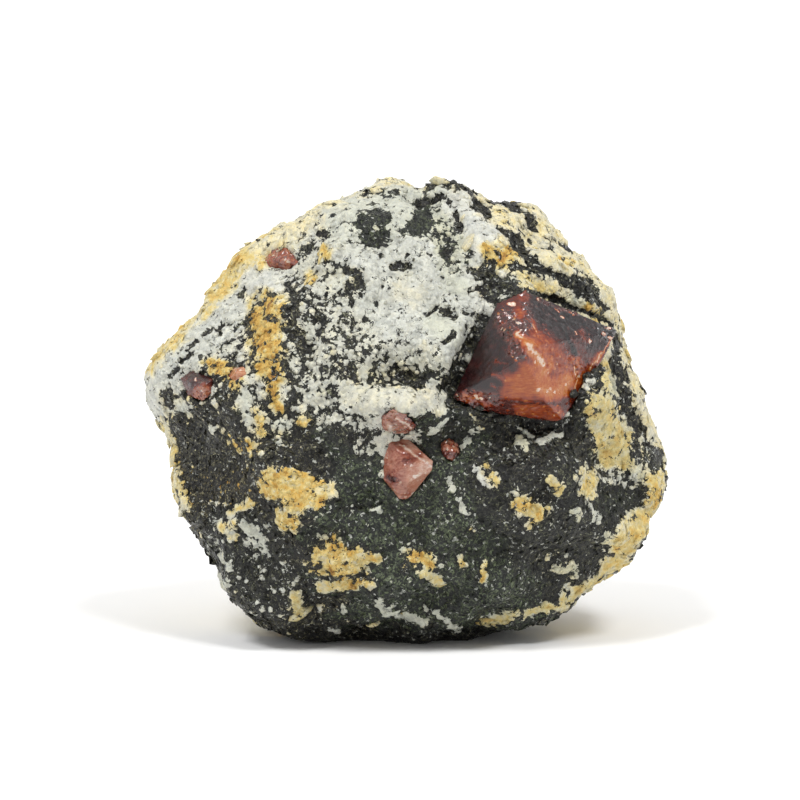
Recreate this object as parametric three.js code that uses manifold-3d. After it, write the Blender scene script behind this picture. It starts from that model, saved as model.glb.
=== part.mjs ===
// Zircon crystals on a piece of mica and feldspar rock, a hand specimen from a pegmatite.
//
// The rock is one solid. It is drawn about its middle: an irregular outline seen square on to its broad face, a rounded
// depth in front of and behind that outline, cleavage faces that plane it off, and ledges, hollows and lumps on top.
// Each zircon is a solid of its own with flat faces, seated in a socket in the rock: the great one is the end of a stubby
// double pyramid, and the small ones are broken pyramids.
//
// Sizes are millimetres. The rock's own axes are x to the right along its broad face, y into the rock and z up the face.
// Standing on its foot the rock leans back a little, so everything is turned by LEAN at the end and set down on z = 0.
import * as THREE from 'three';
import { ConvexGeometry } from 'three/addons/geometries/ConvexGeometry.js';
import { ImprovedNoise } from 'three/addons/math/ImprovedNoise.js';
import { mergeVertices } from 'three/addons/utils/BufferGeometryUtils.js';
import Module from 'manifold-3d';

const wasm = await Module();
wasm.setup();

// ---- Driving dimensions ----

const LEAN = THREE.MathUtils.degToRad(8); // how far the broad face leans back from upright
const FRONT_DEPTH = 16.5; // from the outline's plane to the broad face
const BACK_DEPTH = 17.5; // from the outline's plane to the back
const FOOT_EDGE = { y: -4.5, z: -22.7 }; // the front edge of the flat foot, in the rock's own axes
const SOCKET_GAP = 0.3; // clearance between a crystal and its socket
const SPHERE_DETAIL = 19; // subdivisions of the starting sphere: 20 * 20^2 triangles
const FACETS = { count: 120, height: 0.9, tilt: 0.32, seed: 4.3 }; // broken facets all over the rock

// The outline of the rock, clockwise from the lump on its top: right of and above its middle.
const OUTLINE = [
  [-0.8, 23.8], [1.6, 22.7], [5.3, 23.0], [8.5, 21.9], [11.8, 21.7], [13.6, 20.8], [14.8, 19.1], [18.3, 15.2],
  [20.9, 11.2], [21.5, 8.6], [23.0, 4.0], [25.0, -0.5], [26.0, -4.3], [25.6, -7.8], [23.8, -10.1], [23.3, -12.9],
  [21.9, -14.8], [19.6, -16.4], [16.0, -19.2], [10.7, -21.8], [3.5, -23.4], [-7.5, -23.5], [-13.3, -22.0],
  [-15.9, -20.5], [-18.5, -17.2], [-19.3, -14.4], [-21.4, -11.0], [-23.1, -6.0], [-23.9, -2.8], [-25.4, 0.0],
  [-26.0, 2.6], [-24.9, 5.6], [-21.0, 10.2], [-17.5, 14.6], [-14.6, 17.5], [-9.0, 20.1], [-4.0, 22.4], [-2.4, 23.3],
];

// Cleavage faces that plane the rounded body off: the way each faces, the direction from the middle in which it lies, and
// how much it takes off there.
const CLEAVAGE_FACES = [
  { is: 'pale feldspar face', normal: [0.02, -0.88, 0.47], towards: [0.06, -1.0, 0.74], cut: 1.5 },
  { is: 'dark mica face', normal: [0.06, -0.97, -0.22], towards: [0.2, -1.0, -0.5], cut: 1.0 },
  { is: 'speckled upper left', normal: [-0.6, -0.62, 0.5], towards: [-0.95, -0.8, 0.6], cut: 1.4 },
  { is: 'dark lower left', normal: [-0.7, -0.66, -0.26], towards: [-1.1, -0.7, -0.55], cut: 1.3 },
  { is: 'banded upper right', normal: [0.55, -0.6, 0.58], towards: [0.85, -0.6, 0.9], cut: 1.2 },
  { is: 'right shoulder', normal: [0.8, -0.6, -0.06], towards: [1.2, -0.7, 0.0], cut: 1.1 },
  { is: 'lower right', normal: [0.52, -0.62, -0.58], towards: [0.8, -0.65, -0.8], cut: 1.2 },
  { is: 'under the dark face', normal: [-0.06, -0.66, -0.75], towards: [-0.1, -0.6, -1.0], cut: 1.0 },
  { is: 'back', normal: [0.14, 0.97, 0.16], towards: [0.1, 1.0, 0.1], cut: 1.8 },
  { is: 'back, upper left', normal: [-0.56, 0.66, 0.5], towards: [-0.7, 0.6, 0.6], cut: 1.8 },
  { is: 'back, upper right', normal: [0.46, 0.62, 0.64], towards: [0.6, 0.6, 0.7], cut: 1.4 },
  { is: 'back, right', normal: [0.8, 0.58, -0.16], towards: [1.0, 0.6, -0.2], cut: 1.6 },
  { is: 'back, lower left', normal: [-0.7, 0.6, -0.38], towards: [-0.9, 0.6, -0.5], cut: 1.6 },
  { is: 'back, below', normal: [0.16, 0.64, -0.75], towards: [0.1, 0.6, -0.8], cut: 1.6 },
];

// Ledges, lumps and hollows of the broad face: where they lie right of and above the middle, half their length and
// width, how far they are turned, and how far they stand out (or in, if negative).
const FRONT_RELIEF = [
  { is: 'pale ledge', at: [-1.2, 1.3], half: [5.6, 1.9], turn: 4, height: 0.5 },
  { is: 'ledge, left end', at: [-8.5, -1.5], half: [3.4, 2.4], turn: 30, height: 0.7 },
  { is: 'recess under the ledge', at: [3.2, -2.4], half: [5.0, 2.2], turn: -6, height: -1.3 },
  { is: 'hollow under the great crystal', at: [12.0, -1.6], half: [8.4, 2.6], turn: 4, height: -3.0 },
  { is: 'trough left of the great crystal', at: [6.4, 6.4], half: [7.0, 2.0], turn: 64, height: -2.6 },
  { is: 'trough above the great crystal', at: [17.6, 11.0], half: [7.4, 1.7], turn: -28, height: -1.8 },
  { is: 'mica block', at: [14.0, -5.0], half: [5.6, 3.6], turn: 0, height: 0.9 },
  { is: 'yellow nest', at: [-10.0, -8.2], half: [4.6, 3.0], turn: -14, height: 0.6 },
  { is: 'step right of the nest', at: [-4.4, -8.8], half: [4.0, 2.4], turn: 30, height: -0.6 },
  { is: 'lower ochre lump', at: [-6.2, -15.4], half: [3.2, 2.6], turn: 20, height: 0.8 },
  { is: 'overhang below', at: [3.0, -19.4], half: [13.0, 2.0], turn: -2, height: -0.8 },
  { is: 'feldspar knob', at: [-4.0, 14.0], half: [4.0, 4.0], turn: 0, height: 0.5 },
  { is: 'feldspar dish', at: [3.0, 12.0], half: [6.0, 5.0], turn: 20, height: -0.7 },
  { is: 'dark band of the brow', at: [-4.5, 21.0], half: [8.5, 1.0], turn: 17, height: -0.6 },
  { is: 'ochre rib, upper left', at: [-13.0, 7.0], half: [5.6, 2.0], turn: 80, height: 0.6 },
  { is: 'valley, upper left', at: [-9.0, 8.5], half: [6.0, 1.5], turn: 74, height: -0.7 },
  { is: 'cream shoulder, right', at: [19.6, -1.5], half: [4.6, 2.0], turn: 78, height: 0.6 },
  { is: 'groove inside the shoulder', at: [22.2, 0.6], half: [5.0, 0.9], turn: 114, height: -0.9 },
  { is: 'cream band, upper right', at: [16.6, 13.6], half: [6.2, 1.2], turn: -48, height: 0.8 },
  { is: 'groove of that band', at: [15.2, 11.9], half: [6.2, 0.9], turn: -46, height: -0.7 },
  { is: 'lump, top right', at: [12.4, 19.6], half: [3.0, 1.8], turn: -30, height: 0.8 },
];

// Ledges: each rises sharply along its lower edge and runs out above it. The length and width are half of it each way.
const LEDGE_FACE = 0.12; // the share of its width that its steep face takes
const LEDGES = [
  { is: 'pale ledge', at: [-1.0, -0.1], half: [8.0, 4.6], turn: -2, height: 1.5 },
  { is: 'feldspar face over the trough', at: [6.6, 7.4], half: [8.5, 4.6], turn: 66, height: 1.3 },
  { is: 'dark face over its foot', at: [3.0, -18.2], half: [15.0, 4.0], turn: 2, height: 0.9 },
  { is: 'yellow nest over the dark', at: [-9.5, -11.2], half: [5.2, 4.5], turn: -18, height: 1.0 },
  { is: 'banded rim over the great crystal', at: [17.6, 12.4], half: [8.0, 3.5], turn: -32, height: 1.0 },
  { is: 'upper left shoulder', at: [-17.8, 9.0], half: [9.0, 3.0], turn: 48, height: 0.8 },
  { is: 'brow', at: [-3.0, 19.6], half: [8.0, 3.0], turn: 12, height: 0.9 },
  { is: 'cream shoulder, right', at: [20.8, -12.5], half: [7.0, 4.0], turn: 62, height: 0.9 },
];

// Lumps of the cream feldspar round the rim and over the back: the way each lies from the middle, its half width and
// how far it stands out.
const CRUST_LUMPS = [
  { way: [-0.04, 0.10, 1.0], half: 3.0, height: 0.8 },
  { way: [0.55, 0.16, 0.85], half: 4.0, height: 0.9 },
  { way: [0.82, 0.2, 0.56], half: 4.6, height: 0.9 },
  { way: [0.97, 0.24, 0.05], half: 4.2, height: 0.8 },
  { way: [0.92, 0.16, -0.36], half: 3.2, height: 0.8 },
  { way: [0.84, 0.2, -0.54], half: 4.2, height: 0.5 },
  { way: [-0.7, 0.22, 0.62], half: 5.2, height: 0.9 },
  { way: [-0.93, 0.2, 0.26], half: 4.2, height: 0.8 },
  { way: [-0.95, 0.22, -0.25], half: 4.4, height: 0.7 },
  { way: [-0.6, 0.72, 0.3], half: 5.0, height: 1.1 },
  { way: [0.0, 0.86, 0.5], half: 6.0, height: 1.2 },
  { way: [0.5, 0.84, 0.1], half: 4.6, height: 0.9 },
  { way: [-0.1, 0.98, -0.2], half: 5.4, height: -1.1 },
  { way: [0.35, 0.8, -0.48], half: 5.0, height: 0.9 },
  { way: [-0.45, 0.76, -0.46], half: 4.4, height: 0.8 },
];

// ---- The rock ----

// The outline as a distance from the middle in each direction, read off a closed curve through its points.
const outlineCurve = new THREE.CatmullRomCurve3(
  OUTLINE.map(([x, z]) => new THREE.Vector3(x, 0, z)),
  true,
  'centripetal',
);
const outlineSpokes = outlineCurve
  .getPoints(720)
  .map((p) => ({ angle: Math.atan2(p.z, p.x), reach: Math.hypot(p.x, p.z) }))
  .sort((a, b) => a.angle - b.angle);

function outlineReach(angle) {
  const spokes = outlineSpokes;
  let low = 0;
  let high = spokes.length - 1;
  if (angle <= spokes[low].angle || angle >= spokes[high].angle) return spokes[low].reach;
  while (high - low > 1) {
    const middle = (low + high) >> 1;
    if (spokes[middle].angle <= angle) low = middle;
    else high = middle;
  }
  const share = (angle - spokes[low].angle) / (spokes[high].angle - spokes[low].angle || 1);
  return THREE.MathUtils.lerp(spokes[low].reach, spokes[high].reach, share);
}

const perlin = new ImprovedNoise();
const BODY_ROUNDNESS = 2.6; // 2 is an ellipse, more is squarer in depth

function bodyReach(way) {
  const across = Math.hypot(way.x, way.z);
  const rim = outlineReach(Math.atan2(way.z, way.x));
  const depth = way.y < 0 ? FRONT_DEPTH : BACK_DEPTH;
  const sum =
    Math.pow(across / rim, BODY_ROUNDNESS) + Math.pow(Math.abs(way.y) / depth, BODY_ROUNDNESS);
  return Math.pow(sum, -1 / BODY_ROUNDNESS);
}

// The nearer of two surfaces, with the edge between them rounded over a width.
function nearer(a, b, width) {
  const near = Math.max(width - Math.abs(a - b), 0) / width;
  return Math.min(a, b) - (near * near * width) / 4;
}

const onSurface = (way, reach) => way.clone().multiplyScalar(reach(way));

const cleavage = CLEAVAGE_FACES.map(({ normal, towards, cut }) => {
  const n = new THREE.Vector3(...normal).normalize();
  const place = onSurface(new THREE.Vector3(...towards).normalize(), bodyReach);
  return { normal: n, distance: place.dot(n) - cut };
});

const EDGE_ROUNDING = 0.8;
const GRAZING = 0.2; // a plane seen flatter than this from the middle can't cut here
function planedReach(way) {
  let reach = bodyReach(way);
  for (const plane of cleavage) {
    const facing = way.dot(plane.normal);
    if (facing > GRAZING) reach = nearer(reach, plane.distance / facing, EDGE_ROUNDING);
  }
  return reach;
}

// Broken facets: each covers the ways nearest its own, with a height and a tilt, and meets its neighbours in a short step.
const GOLDEN_ANGLE = Math.PI * (3 - Math.sqrt(5));
const STEP_SHARPNESS = 260;
const FACET_NEARNESS = 0.9; // the cosine past which a facet has no say
function spreadFacets({ count, height, tilt, seed }) {
  return Array.from({ length: count }, (_, i) => {
    const y = 1 - (2 * (i + 0.5)) / count;
    const ring = Math.sqrt(1 - y * y);
    const sway = [0, 1, 2, 3].map((k) => 2 * perlin.noise(i * 1.37 + k * 7.1 + seed, k + 0.3, seed));
    const way = new THREE.Vector3(
      Math.cos(i * GOLDEN_ANGLE) * ring,
      y,
      Math.sin(i * GOLDEN_ANGLE) * ring,
    );
    return {
      way,
      height: height * sway[3],
      tilt: new THREE.Vector3(...sway.slice(0, 3)).multiplyScalar(tilt),
    };
  });
}

function facetHeight(facets, way, reach) {
  let sum = 0;
  let weights = 0;
  for (const facet of facets) {
    const nearness = way.dot(facet.way);
    if (nearness < FACET_NEARNESS) continue;
    const weight = Math.exp(STEP_SHARPNESS * (nearness - 1));
    const slope = reach * (facet.tilt.dot(way) - facet.tilt.dot(facet.way) * nearness);
    sum += weight * (facet.height + slope);
    weights += weight;
  }
  return weights > 0 ? sum / weights : 0;
}

const brokenFacets = spreadFacets(FACETS);

// A smooth hill: 1 in the middle and 0 from 1 outwards.
const hill = (s) => (s < 1 ? (1 - s * s) * (1 - s * s) : 0);
const HILL_SPREAD = 1.25; // a hill runs out this far beyond its half width

// Where a point lies in a patch turned on the broad face: along it and across it, in units of its half length and width.
function inPatch({ at, half, turn }, x, z) {
  const a = THREE.MathUtils.degToRad(turn);
  const dx = x - at[0];
  const dz = z - at[1];
  return {
    along: (dx * Math.cos(a) + dz * Math.sin(a)) / half[0],
    across: (dz * Math.cos(a) - dx * Math.sin(a)) / half[1],
  };
}

function frontRelief(x, z) {
  let height = 0;
  for (const patch of FRONT_RELIEF) {
    const { along, across } = inPatch(patch, x, z);
    height += patch.height * hill(Math.hypot(along, across) / HILL_SPREAD);
  }
  for (const ledge of LEDGES) {
    const { along, across } = inPatch(ledge, x, z);
    const rise = THREE.MathUtils.smoothstep(across, -LEDGE_FACE, LEDGE_FACE);
    height += ledge.height * hill(Math.abs(along)) * rise * hill(Math.max(across, 0));
  }
  return height;
}

const crustLumps = CRUST_LUMPS.map(({ way, half, height }) => {
  const direction = new THREE.Vector3(...way).normalize();
  return { centre: onSurface(direction, planedReach), half, height };
});

function crustRelief(point) {
  let sum = 0;
  for (const { centre, half, height } of crustLumps) {
    sum += height * hill(point.distanceTo(centre) / (half * HILL_SPREAD));
  }
  return sum;
}

const GRAIN_COARSE = { size: 5.2, height: 0.6 };
const GRAIN_FINE = { size: 2.3, height: 0.45 };

function grain({ size, height }, p) {
  return height * perlin.noise(p.x / size + 3.1, p.y / size + 11.7, p.z / size - 5.3);
}

// The outline keeps its place: where the surface turns edge on, relief fades to a little roughness.
const RIM_ROUGHNESS = 0.3;
const FACE_INSET = 0.8; // what the relief adds on average, taken off again
function rockReach(way) {
  const body = bodyReach(way);
  const planed = planedReach(way);
  const p = way.clone().multiplyScalar(planed);
  const inFront = THREE.MathUtils.smoothstep(-way.y, 0.1, 0.4);
  const relief =
    planed - body - FACE_INSET + facetHeight(brokenFacets, way, planed) + inFront * frontRelief(p.x, p.z) + crustRelief(p) +
    grain(GRAIN_COARSE, p) + grain(GRAIN_FINE, p);
  const offRim = THREE.MathUtils.smoothstep(Math.abs(way.y), 0.0, 0.3);
  return body + relief * THREE.MathUtils.lerp(RIM_ROUGHNESS, 1, offRim);
}

// How deep the rock's front lies behind a point of its broad face, found by halving.
const BEFORE_THE_ROCK = -30;
const HALVINGS = 30;
function frontDepth(x, z) {
  let out = BEFORE_THE_ROCK;
  let inside = 0;
  for (let i = 0; i < HALVINGS; i++) {
    const y = (out + inside) / 2;
    const p = new THREE.Vector3(x, y, z);
    if (p.length() > rockReach(p.clone().normalize())) out = y;
    else inside = y;
  }
  return inside;
}

function rockGeometry() {
  const sphere = new THREE.IcosahedronGeometry(1, SPHERE_DETAIL);
  sphere.deleteAttribute('normal');
  sphere.deleteAttribute('uv');
  const ball = mergeVertices(sphere, 1e-5);
  const position = ball.getAttribute('position');
  const way = new THREE.Vector3();
  for (let i = 0; i < position.count; i++) {
    way.fromBufferAttribute(position, i).normalize();
    const p = way.clone().multiplyScalar(rockReach(way));
    position.setXYZ(i, p.x, p.y, p.z);
  }
  return ball;
}

// ---- The crystals ----

// A crystal is the space behind all its faces. Each face is a unit normal and a distance; grow moves them all outwards.
function polyhedron(faces, grow = 0) {
  const planes = faces.map(({ normal, distance }) => ({ normal, distance: distance + grow }));
  const corners = [];
  for (let i = 0; i < planes.length; i++) {
    for (let j = i + 1; j < planes.length; j++) {
      for (let k = j + 1; k < planes.length; k++) {
        const m = new THREE.Matrix3().set(
          ...planes[i].normal.toArray(),
          ...planes[j].normal.toArray(),
          ...planes[k].normal.toArray(),
        );
        if (Math.abs(m.determinant()) < 1e-6) continue;
        const corner = new THREE.Vector3(
          planes[i].distance,
          planes[j].distance,
          planes[k].distance,
        ).applyMatrix3(m.invert());
        if (planes.every((p) => corner.dot(p.normal) <= p.distance + 1e-6)) corners.push(corner);
      }
    }
  }
  return new ConvexGeometry(corners);
}

// The face through three points, turned so that it looks away from the inside point.
function faceThrough(a, b, c, inside) {
  const plane = new THREE.Plane().setFromCoplanarPoints(a, b, c);
  const normal = plane.normal.clone();
  let distance = -plane.constant;
  if (inside.dot(normal) > distance) {
    normal.negate();
    distance = -distance;
  }
  return { normal, distance };
}

// Where a face lies at a place right of and above the middle.
function onFace({ normal, distance }, x, z) {
  return new THREE.Vector3(x, (distance - normal.x * x - normal.z * z) / normal.y, z);
}

// The great crystal is one end of a stubby double pyramid, its point towards the front. Its corners are given right, into
// the rock and up, and its rim runs clockwise from the left.
const GREAT = {
  left: new THREE.Vector3(4.6, -14.9, 1.7),
  upperLeft: new THREE.Vector3(8.8, -14.2, 10.7),
  top: new THREE.Vector3(11.6, -13.6, 12.0),
  right: new THREE.Vector3(20.7, -8.8, 8.3),
  lowerRight: new THREE.Vector3(18.9, -9.6, 5.6),
  bottomRight: new THREE.Vector3(15.5, -13.8, 1.6),
  under: new THREE.Vector3(14.3, -13.4, -0.6),
  bottomLeft: new THREE.Vector3(8.2, -14.6, 0.7),
  point: new THREE.Vector3(11.4, -19.2, 6.6),
  ledgeLeft: new THREE.Vector3(9.3, -17.0, 1.9),
  ledgeRight: new THREE.Vector3(14.3, -16.2, 1.5),
  root: new THREE.Vector3(13.2, -4.6, 6.0),
  heart: new THREE.Vector3(13.0, -12.5, 5.8),
};
const BRIGHT_FACE_CORNER = { x: 10.1, z: 4.8 }; // on the left face, where the face under the point begins

function greatCrystalFaces() {
  const g = GREAT;
  const rim = [g.left, g.upperLeft, g.top, g.right, g.lowerRight, g.under, g.bottomLeft];
  const leftFace = faceThrough(g.left, g.upperLeft, g.point, g.heart);
  const corner = onFace(leftFace, BRIGHT_FACE_CORNER.x, BRIGHT_FACE_CORNER.z);
  const upper = [
    [g.upperLeft, g.top, g.point],
    [g.top, g.right, g.point],
    [g.right, g.bottomRight, g.point],
    [g.ledgeLeft, g.ledgeRight, corner],
    [g.left, g.ledgeLeft, corner],
    [g.ledgeLeft, g.ledgeRight, g.under],
  ];
  const lower = rim.map((place, i) => [place, rim[(i + 1) % rim.length], g.root]);
  return [leftFace, ...[...upper, ...lower].map(([a, b, c]) => faceThrough(a, b, c, g.heart))];
}

// A small zircon is the solid that its corners span. A corner lies right of and above the middle, and stands out of the
// rock's face by so much: the rim a little under it, the crest clear of it and the root deep in it.
const RIM_BURIED = 0.25;
function smallCrystalFaces({ rim, crest, root }) {
  const corners = [...rim.map(([x, z]) => [x, z, -RIM_BURIED]), ...crest, root].map(
    ([x, z, out]) => new THREE.Vector3(x, frontDepth(x, z) - out, z),
  );
  const heart = corners.reduce((sum, p) => sum.add(p), new THREE.Vector3()).divideScalar(corners.length);
  const hull = new ConvexGeometry(corners).getAttribute('position');
  const faces = [];
  for (let i = 0; i < hull.count; i += 3) {
    const [a, b, c] = [0, 1, 2].map((k) => new THREE.Vector3().fromBufferAttribute(hull, i + k));
    faces.push(faceThrough(a, b, c, heart));
  }
  return faces;
}

const SMALL_CRYSTALS = {
  zircon_centre: {
    rim: [[-1.4, -2.5], [0.3, -2.5], [2.4, -4.5], [2.3, -5.3], [0.3, -7.8], [-0.5, -7.8], [-1.8, -6.1], [-1.8, -4.0]],
    crest: [[0.3, -4.5, 0.9], [-0.9, -5.9, 0.6], [0.3, -6.2, 0.6]],
    root: [0.6, -5.0, -3.2],
  },
  zircon_centre_upper: {
    rim: [[-2.1, -0.2], [-1.2, 0.4], [0.0, 0.0], [0.8, -0.9], [0.4, -1.8], [-0.8, -1.9], [-1.9, -1.3]],
    crest: [[-0.5, -0.7, 0.5]],
    root: [0.0, -0.9, -1.8],
  },
  zircon_bead: {
    rim: [[3.5, -2.9], [4.2, -2.4], [4.9, -2.8], [5.1, -3.5], [4.5, -4.1], [3.8, -3.9]],
    crest: [[4.1, -3.1, 0.6], [4.6, -3.5, 0.5]],
    root: [4.3, -3.3, -1.5],
  },
  zircon_upper_left: {
    rim: [[-13.9, 15.2], [-13.0, 16.1], [-11.7, 16.2], [-10.6, 15.0], [-11.7, 14.4], [-13.1, 14.5]],
    crest: [[-12.8, 15.2, 0.8], [-11.7, 15.3, 0.7]],
    root: [-12.2, 15.2, -2.2],
  },
  zircon_left: {
    rim: [[-21.8, 3.5], [-20.7, 4.2], [-18.9, 3.4], [-19.0, 2.3], [-19.8, 1.6], [-21.1, 2.1]],
    crest: [[-20.7, 3.2, 0.8], [-19.7, 2.9, 0.9]],
    root: [-20.2, 2.9, -2.4],
  },
  zircon_left_small: {
    rim: [[-17.1, 3.8], [-16.6, 4.5], [-15.7, 4.5], [-15.5, 4.0], [-16.3, 3.5]],
    crest: [[-16.3, 4.1, 0.4]],
    root: [-16.3, 4.0, -1.2],
  },
};

// ---- Solids, materials and the standing specimen ----

function solid(geometry) {
  const bare = new THREE.BufferGeometry();
  bare.setAttribute('position', geometry.getAttribute('position').clone());
  if (geometry.index) bare.setIndex(geometry.index.clone());
  const merged = mergeVertices(bare, 1e-4);
  return new wasm.Manifold(
    new wasm.Mesh({
      numProp: 3,
      vertProperties: new Float32Array(merged.getAttribute('position').array),
      triVerts: new Uint32Array(merged.index.array),
    }),
  );
}

function geometryOf(body) {
  const mesh = body.getMesh();
  const geometry = new THREE.BufferGeometry();
  geometry.setAttribute('position', new THREE.BufferAttribute(Float32Array.from(mesh.vertProperties), 3));
  geometry.setIndex(new THREE.BufferAttribute(Uint32Array.from(mesh.triVerts), 1));
  geometry.computeVertexNormals();
  return geometry;
}

const crystalFaces = {
  zircon_great: greatCrystalFaces(),
  ...Object.fromEntries(
    Object.entries(SMALL_CRYSTALS).map(([name, crystal]) => [name, smallCrystalFaces(crystal)]),
  ),
};

let rock = solid(rockGeometry());
for (const faces of Object.values(crystalFaces)) {
  rock = rock.subtract(solid(polyhedron(faces, SOCKET_GAP)));
}

// Turned to lean back and lowered until the front edge of the foot lies on z = 0, where the rest is cut off flat.
const lean = new THREE.Matrix4().makeRotationX(-LEAN);
const footEdge = new THREE.Vector3(0, FOOT_EDGE.y, FOOT_EDGE.z).applyMatrix4(lean);
const toStand = new THREE.Matrix4().makeTranslation(0, 0, -footEdge.z).multiply(lean);

const FLOOR_BLOCK = 100;
const below = new THREE.BoxGeometry(FLOOR_BLOCK, FLOOR_BLOCK, FLOOR_BLOCK).translate(0, 0, -FLOOR_BLOCK / 2);
const standingRock = solid(geometryOf(rock).applyMatrix4(toStand)).subtract(solid(below));

const rockMaterial = new THREE.MeshStandardMaterial({ color: 0x5c5a50, roughness: 0.85, metalness: 0 });
const darkZircon = new THREE.MeshStandardMaterial({ color: 0x6b2b19, roughness: 0.2, metalness: 0 });
const paleZircon = new THREE.MeshStandardMaterial({ color: 0x9e5c42, roughness: 0.25, metalness: 0 });
const redZircon = new THREE.MeshStandardMaterial({ color: 0x73261a, roughness: 0.2, metalness: 0 });

const specimen = new THREE.Group();

function addPiece(name, geometry, material) {
  const mesh = new THREE.Mesh(geometry, material.clone());
  mesh.name = name;
  specimen.add(mesh);
}

addPiece('matrix', geometryOf(standingRock), rockMaterial);
const crystalMaterials = { zircon_great: darkZircon, zircon_centre: paleZircon, zircon_centre_upper: paleZircon };
for (const [name, faces] of Object.entries(crystalFaces)) {
  addPiece(name, polyhedron(faces).applyMatrix4(toStand), crystalMaterials[name] ?? redZircon);
}

// The middle of the whole specimen's box goes over the origin.
const box = new THREE.Box3().setFromObject(specimen);
specimen.position.set(-(box.min.x + box.max.x) / 2, -(box.min.y + box.max.y) / 2, 0);

export default specimen;
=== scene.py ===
import itertools
import math
import random

import bmesh
import bpy
import numpy as np
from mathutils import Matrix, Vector, noise
from mathutils.bvhtree import BVHTree


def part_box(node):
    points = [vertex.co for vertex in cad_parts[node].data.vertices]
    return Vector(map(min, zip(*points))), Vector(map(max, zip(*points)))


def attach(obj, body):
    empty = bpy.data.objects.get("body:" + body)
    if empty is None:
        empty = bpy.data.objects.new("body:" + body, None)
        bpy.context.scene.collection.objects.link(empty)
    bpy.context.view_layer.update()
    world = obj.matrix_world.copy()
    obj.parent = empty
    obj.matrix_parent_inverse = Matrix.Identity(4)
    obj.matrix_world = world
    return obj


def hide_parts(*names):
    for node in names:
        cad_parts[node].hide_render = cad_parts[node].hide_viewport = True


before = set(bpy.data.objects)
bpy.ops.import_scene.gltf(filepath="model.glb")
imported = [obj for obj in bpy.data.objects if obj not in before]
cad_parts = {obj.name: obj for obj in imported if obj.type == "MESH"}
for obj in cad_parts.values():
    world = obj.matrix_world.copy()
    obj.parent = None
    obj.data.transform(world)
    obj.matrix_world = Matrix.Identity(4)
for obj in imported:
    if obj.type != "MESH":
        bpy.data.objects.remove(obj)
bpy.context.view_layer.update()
scene = bpy.context.scene

# ------------------------------------------------------------------ the studio
# The specimen stands on white card that runs on far behind it, in a white light
# tent that is open, and so darker, in front. Two soft lamps stand high in front,
# one to each side, and throw the faint wings of shadow on the card beside the rock.
MM = 0.001
EYE_DISTANCE = 400 * MM
EYE_LIFT = math.radians(8)
FRAME_WIDTH = 80 * MM
FRAME_OFFSET = (-0.5 * MM, 1.5 * MM)
ROCK_MIDDLE = Vector((-0.15, 0.48, 21.85)) * MM
INTO_ROCK = Vector((0, math.cos(EYE_LIFT), -math.sin(EYE_LIFT)))
UP_FACE = Vector((0, math.sin(EYE_LIFT), math.cos(EYE_LIFT)))


def linear(hex_colour):
    """An sRGB hex colour such as "#d6d8d3" as linear red, green, blue and alpha."""
    steps = [int(hex_colour[i : i + 2], 16) / 255 for i in (1, 3, 5)]
    return tuple(c / 12.92 if c <= 0.04045 else ((c + 0.055) / 1.055) ** 2.4 for c in steps) + (1.0,)


def add(tree, kind, inputs=None, **settings):
    """Adds a node with its settings and inputs: each a value, a socket, or a node for its first output."""
    made = tree.nodes.new(kind)
    for name, value in settings.items():
        setattr(made, name, value)
    for socket, value in (inputs or {}).items():
        if isinstance(value, bpy.types.Node):
            value = value.outputs[0]
        if isinstance(value, bpy.types.NodeSocket):
            tree.links.new(value, made.inputs[socket])
        else:
            made.inputs[socket].default_value = value
    return made


def new_piece(mesh, name):
    """An object for a finished mesh, at the origin."""
    piece = bpy.data.objects.new(name, mesh)
    scene.collection.objects.link(piece)
    return piece


def new_material(name):
    """A material whose node tree is still empty."""
    material = bpy.data.materials.new(name)
    material.use_nodes = True
    material.node_tree.nodes.clear()
    return material


CARD_HALF = 3.0
CARD_TOOTH = 2 * MM
card_shape = bmesh.new()
bmesh.ops.create_grid(card_shape, x_segments=2, y_segments=2, size=CARD_HALF)
card_mesh = bpy.data.meshes.new("white_card")
card_shape.to_mesh(card_mesh)
card_shape.free()
card = new_piece(card_mesh, "white_card")

# White card: matt, slightly uneven in its tooth.
card_material = new_material("matt white card")
tree = card_material.node_tree
card_place = add(tree, "ShaderNodeTexCoord").outputs["Object"]
tooth = add(tree, "ShaderNodeTexNoise", {"Vector": card_place, "Scale": 1 / CARD_TOOTH})
tooth_bump = add(tree, "ShaderNodeBump", {"Height": tooth, "Strength": 0.05, "Distance": 0.1 * MM})
card_face = add(tree, "ShaderNodeBsdfDiffuse", {"Color": linear("#f6f6f6"), "Normal": tooth_bump})
add(tree, "ShaderNodeOutputMaterial", {"Surface": card_face})
card.data.materials.append(card_material)

TENT_STRENGTH = 0.78
OPENING_STRENGTH = 0.2
OPENING_FROM = math.cos(math.radians(60))
OPENING_TO = math.cos(math.radians(25))
scene.world = bpy.data.worlds.new("light_tent")
scene.world.use_nodes = True
tree = scene.world.node_tree
tent = tree.nodes["Background"]
tent.inputs["Color"].default_value = (1.0, 1.0, 1.0, 1.0)
tent_way = add(tree, "ShaderNodeTexCoord").outputs["Generated"]
frontness = add(tree, "ShaderNodeVectorMath", {0: tent_way, 1: tuple(-INTO_ROCK)}, operation="DOT_PRODUCT")
tent_shade = add(
    tree, "ShaderNodeMapRange",
    {
        "Value": frontness.outputs["Value"],
        "From Min": OPENING_FROM, "From Max": OPENING_TO,
        "To Min": TENT_STRENGTH, "To Max": OPENING_STRENGTH,
    },
    interpolation_type="SMOOTHSTEP",
)
tree.links.new(tent_shade.outputs[0], tent.inputs["Strength"])

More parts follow.
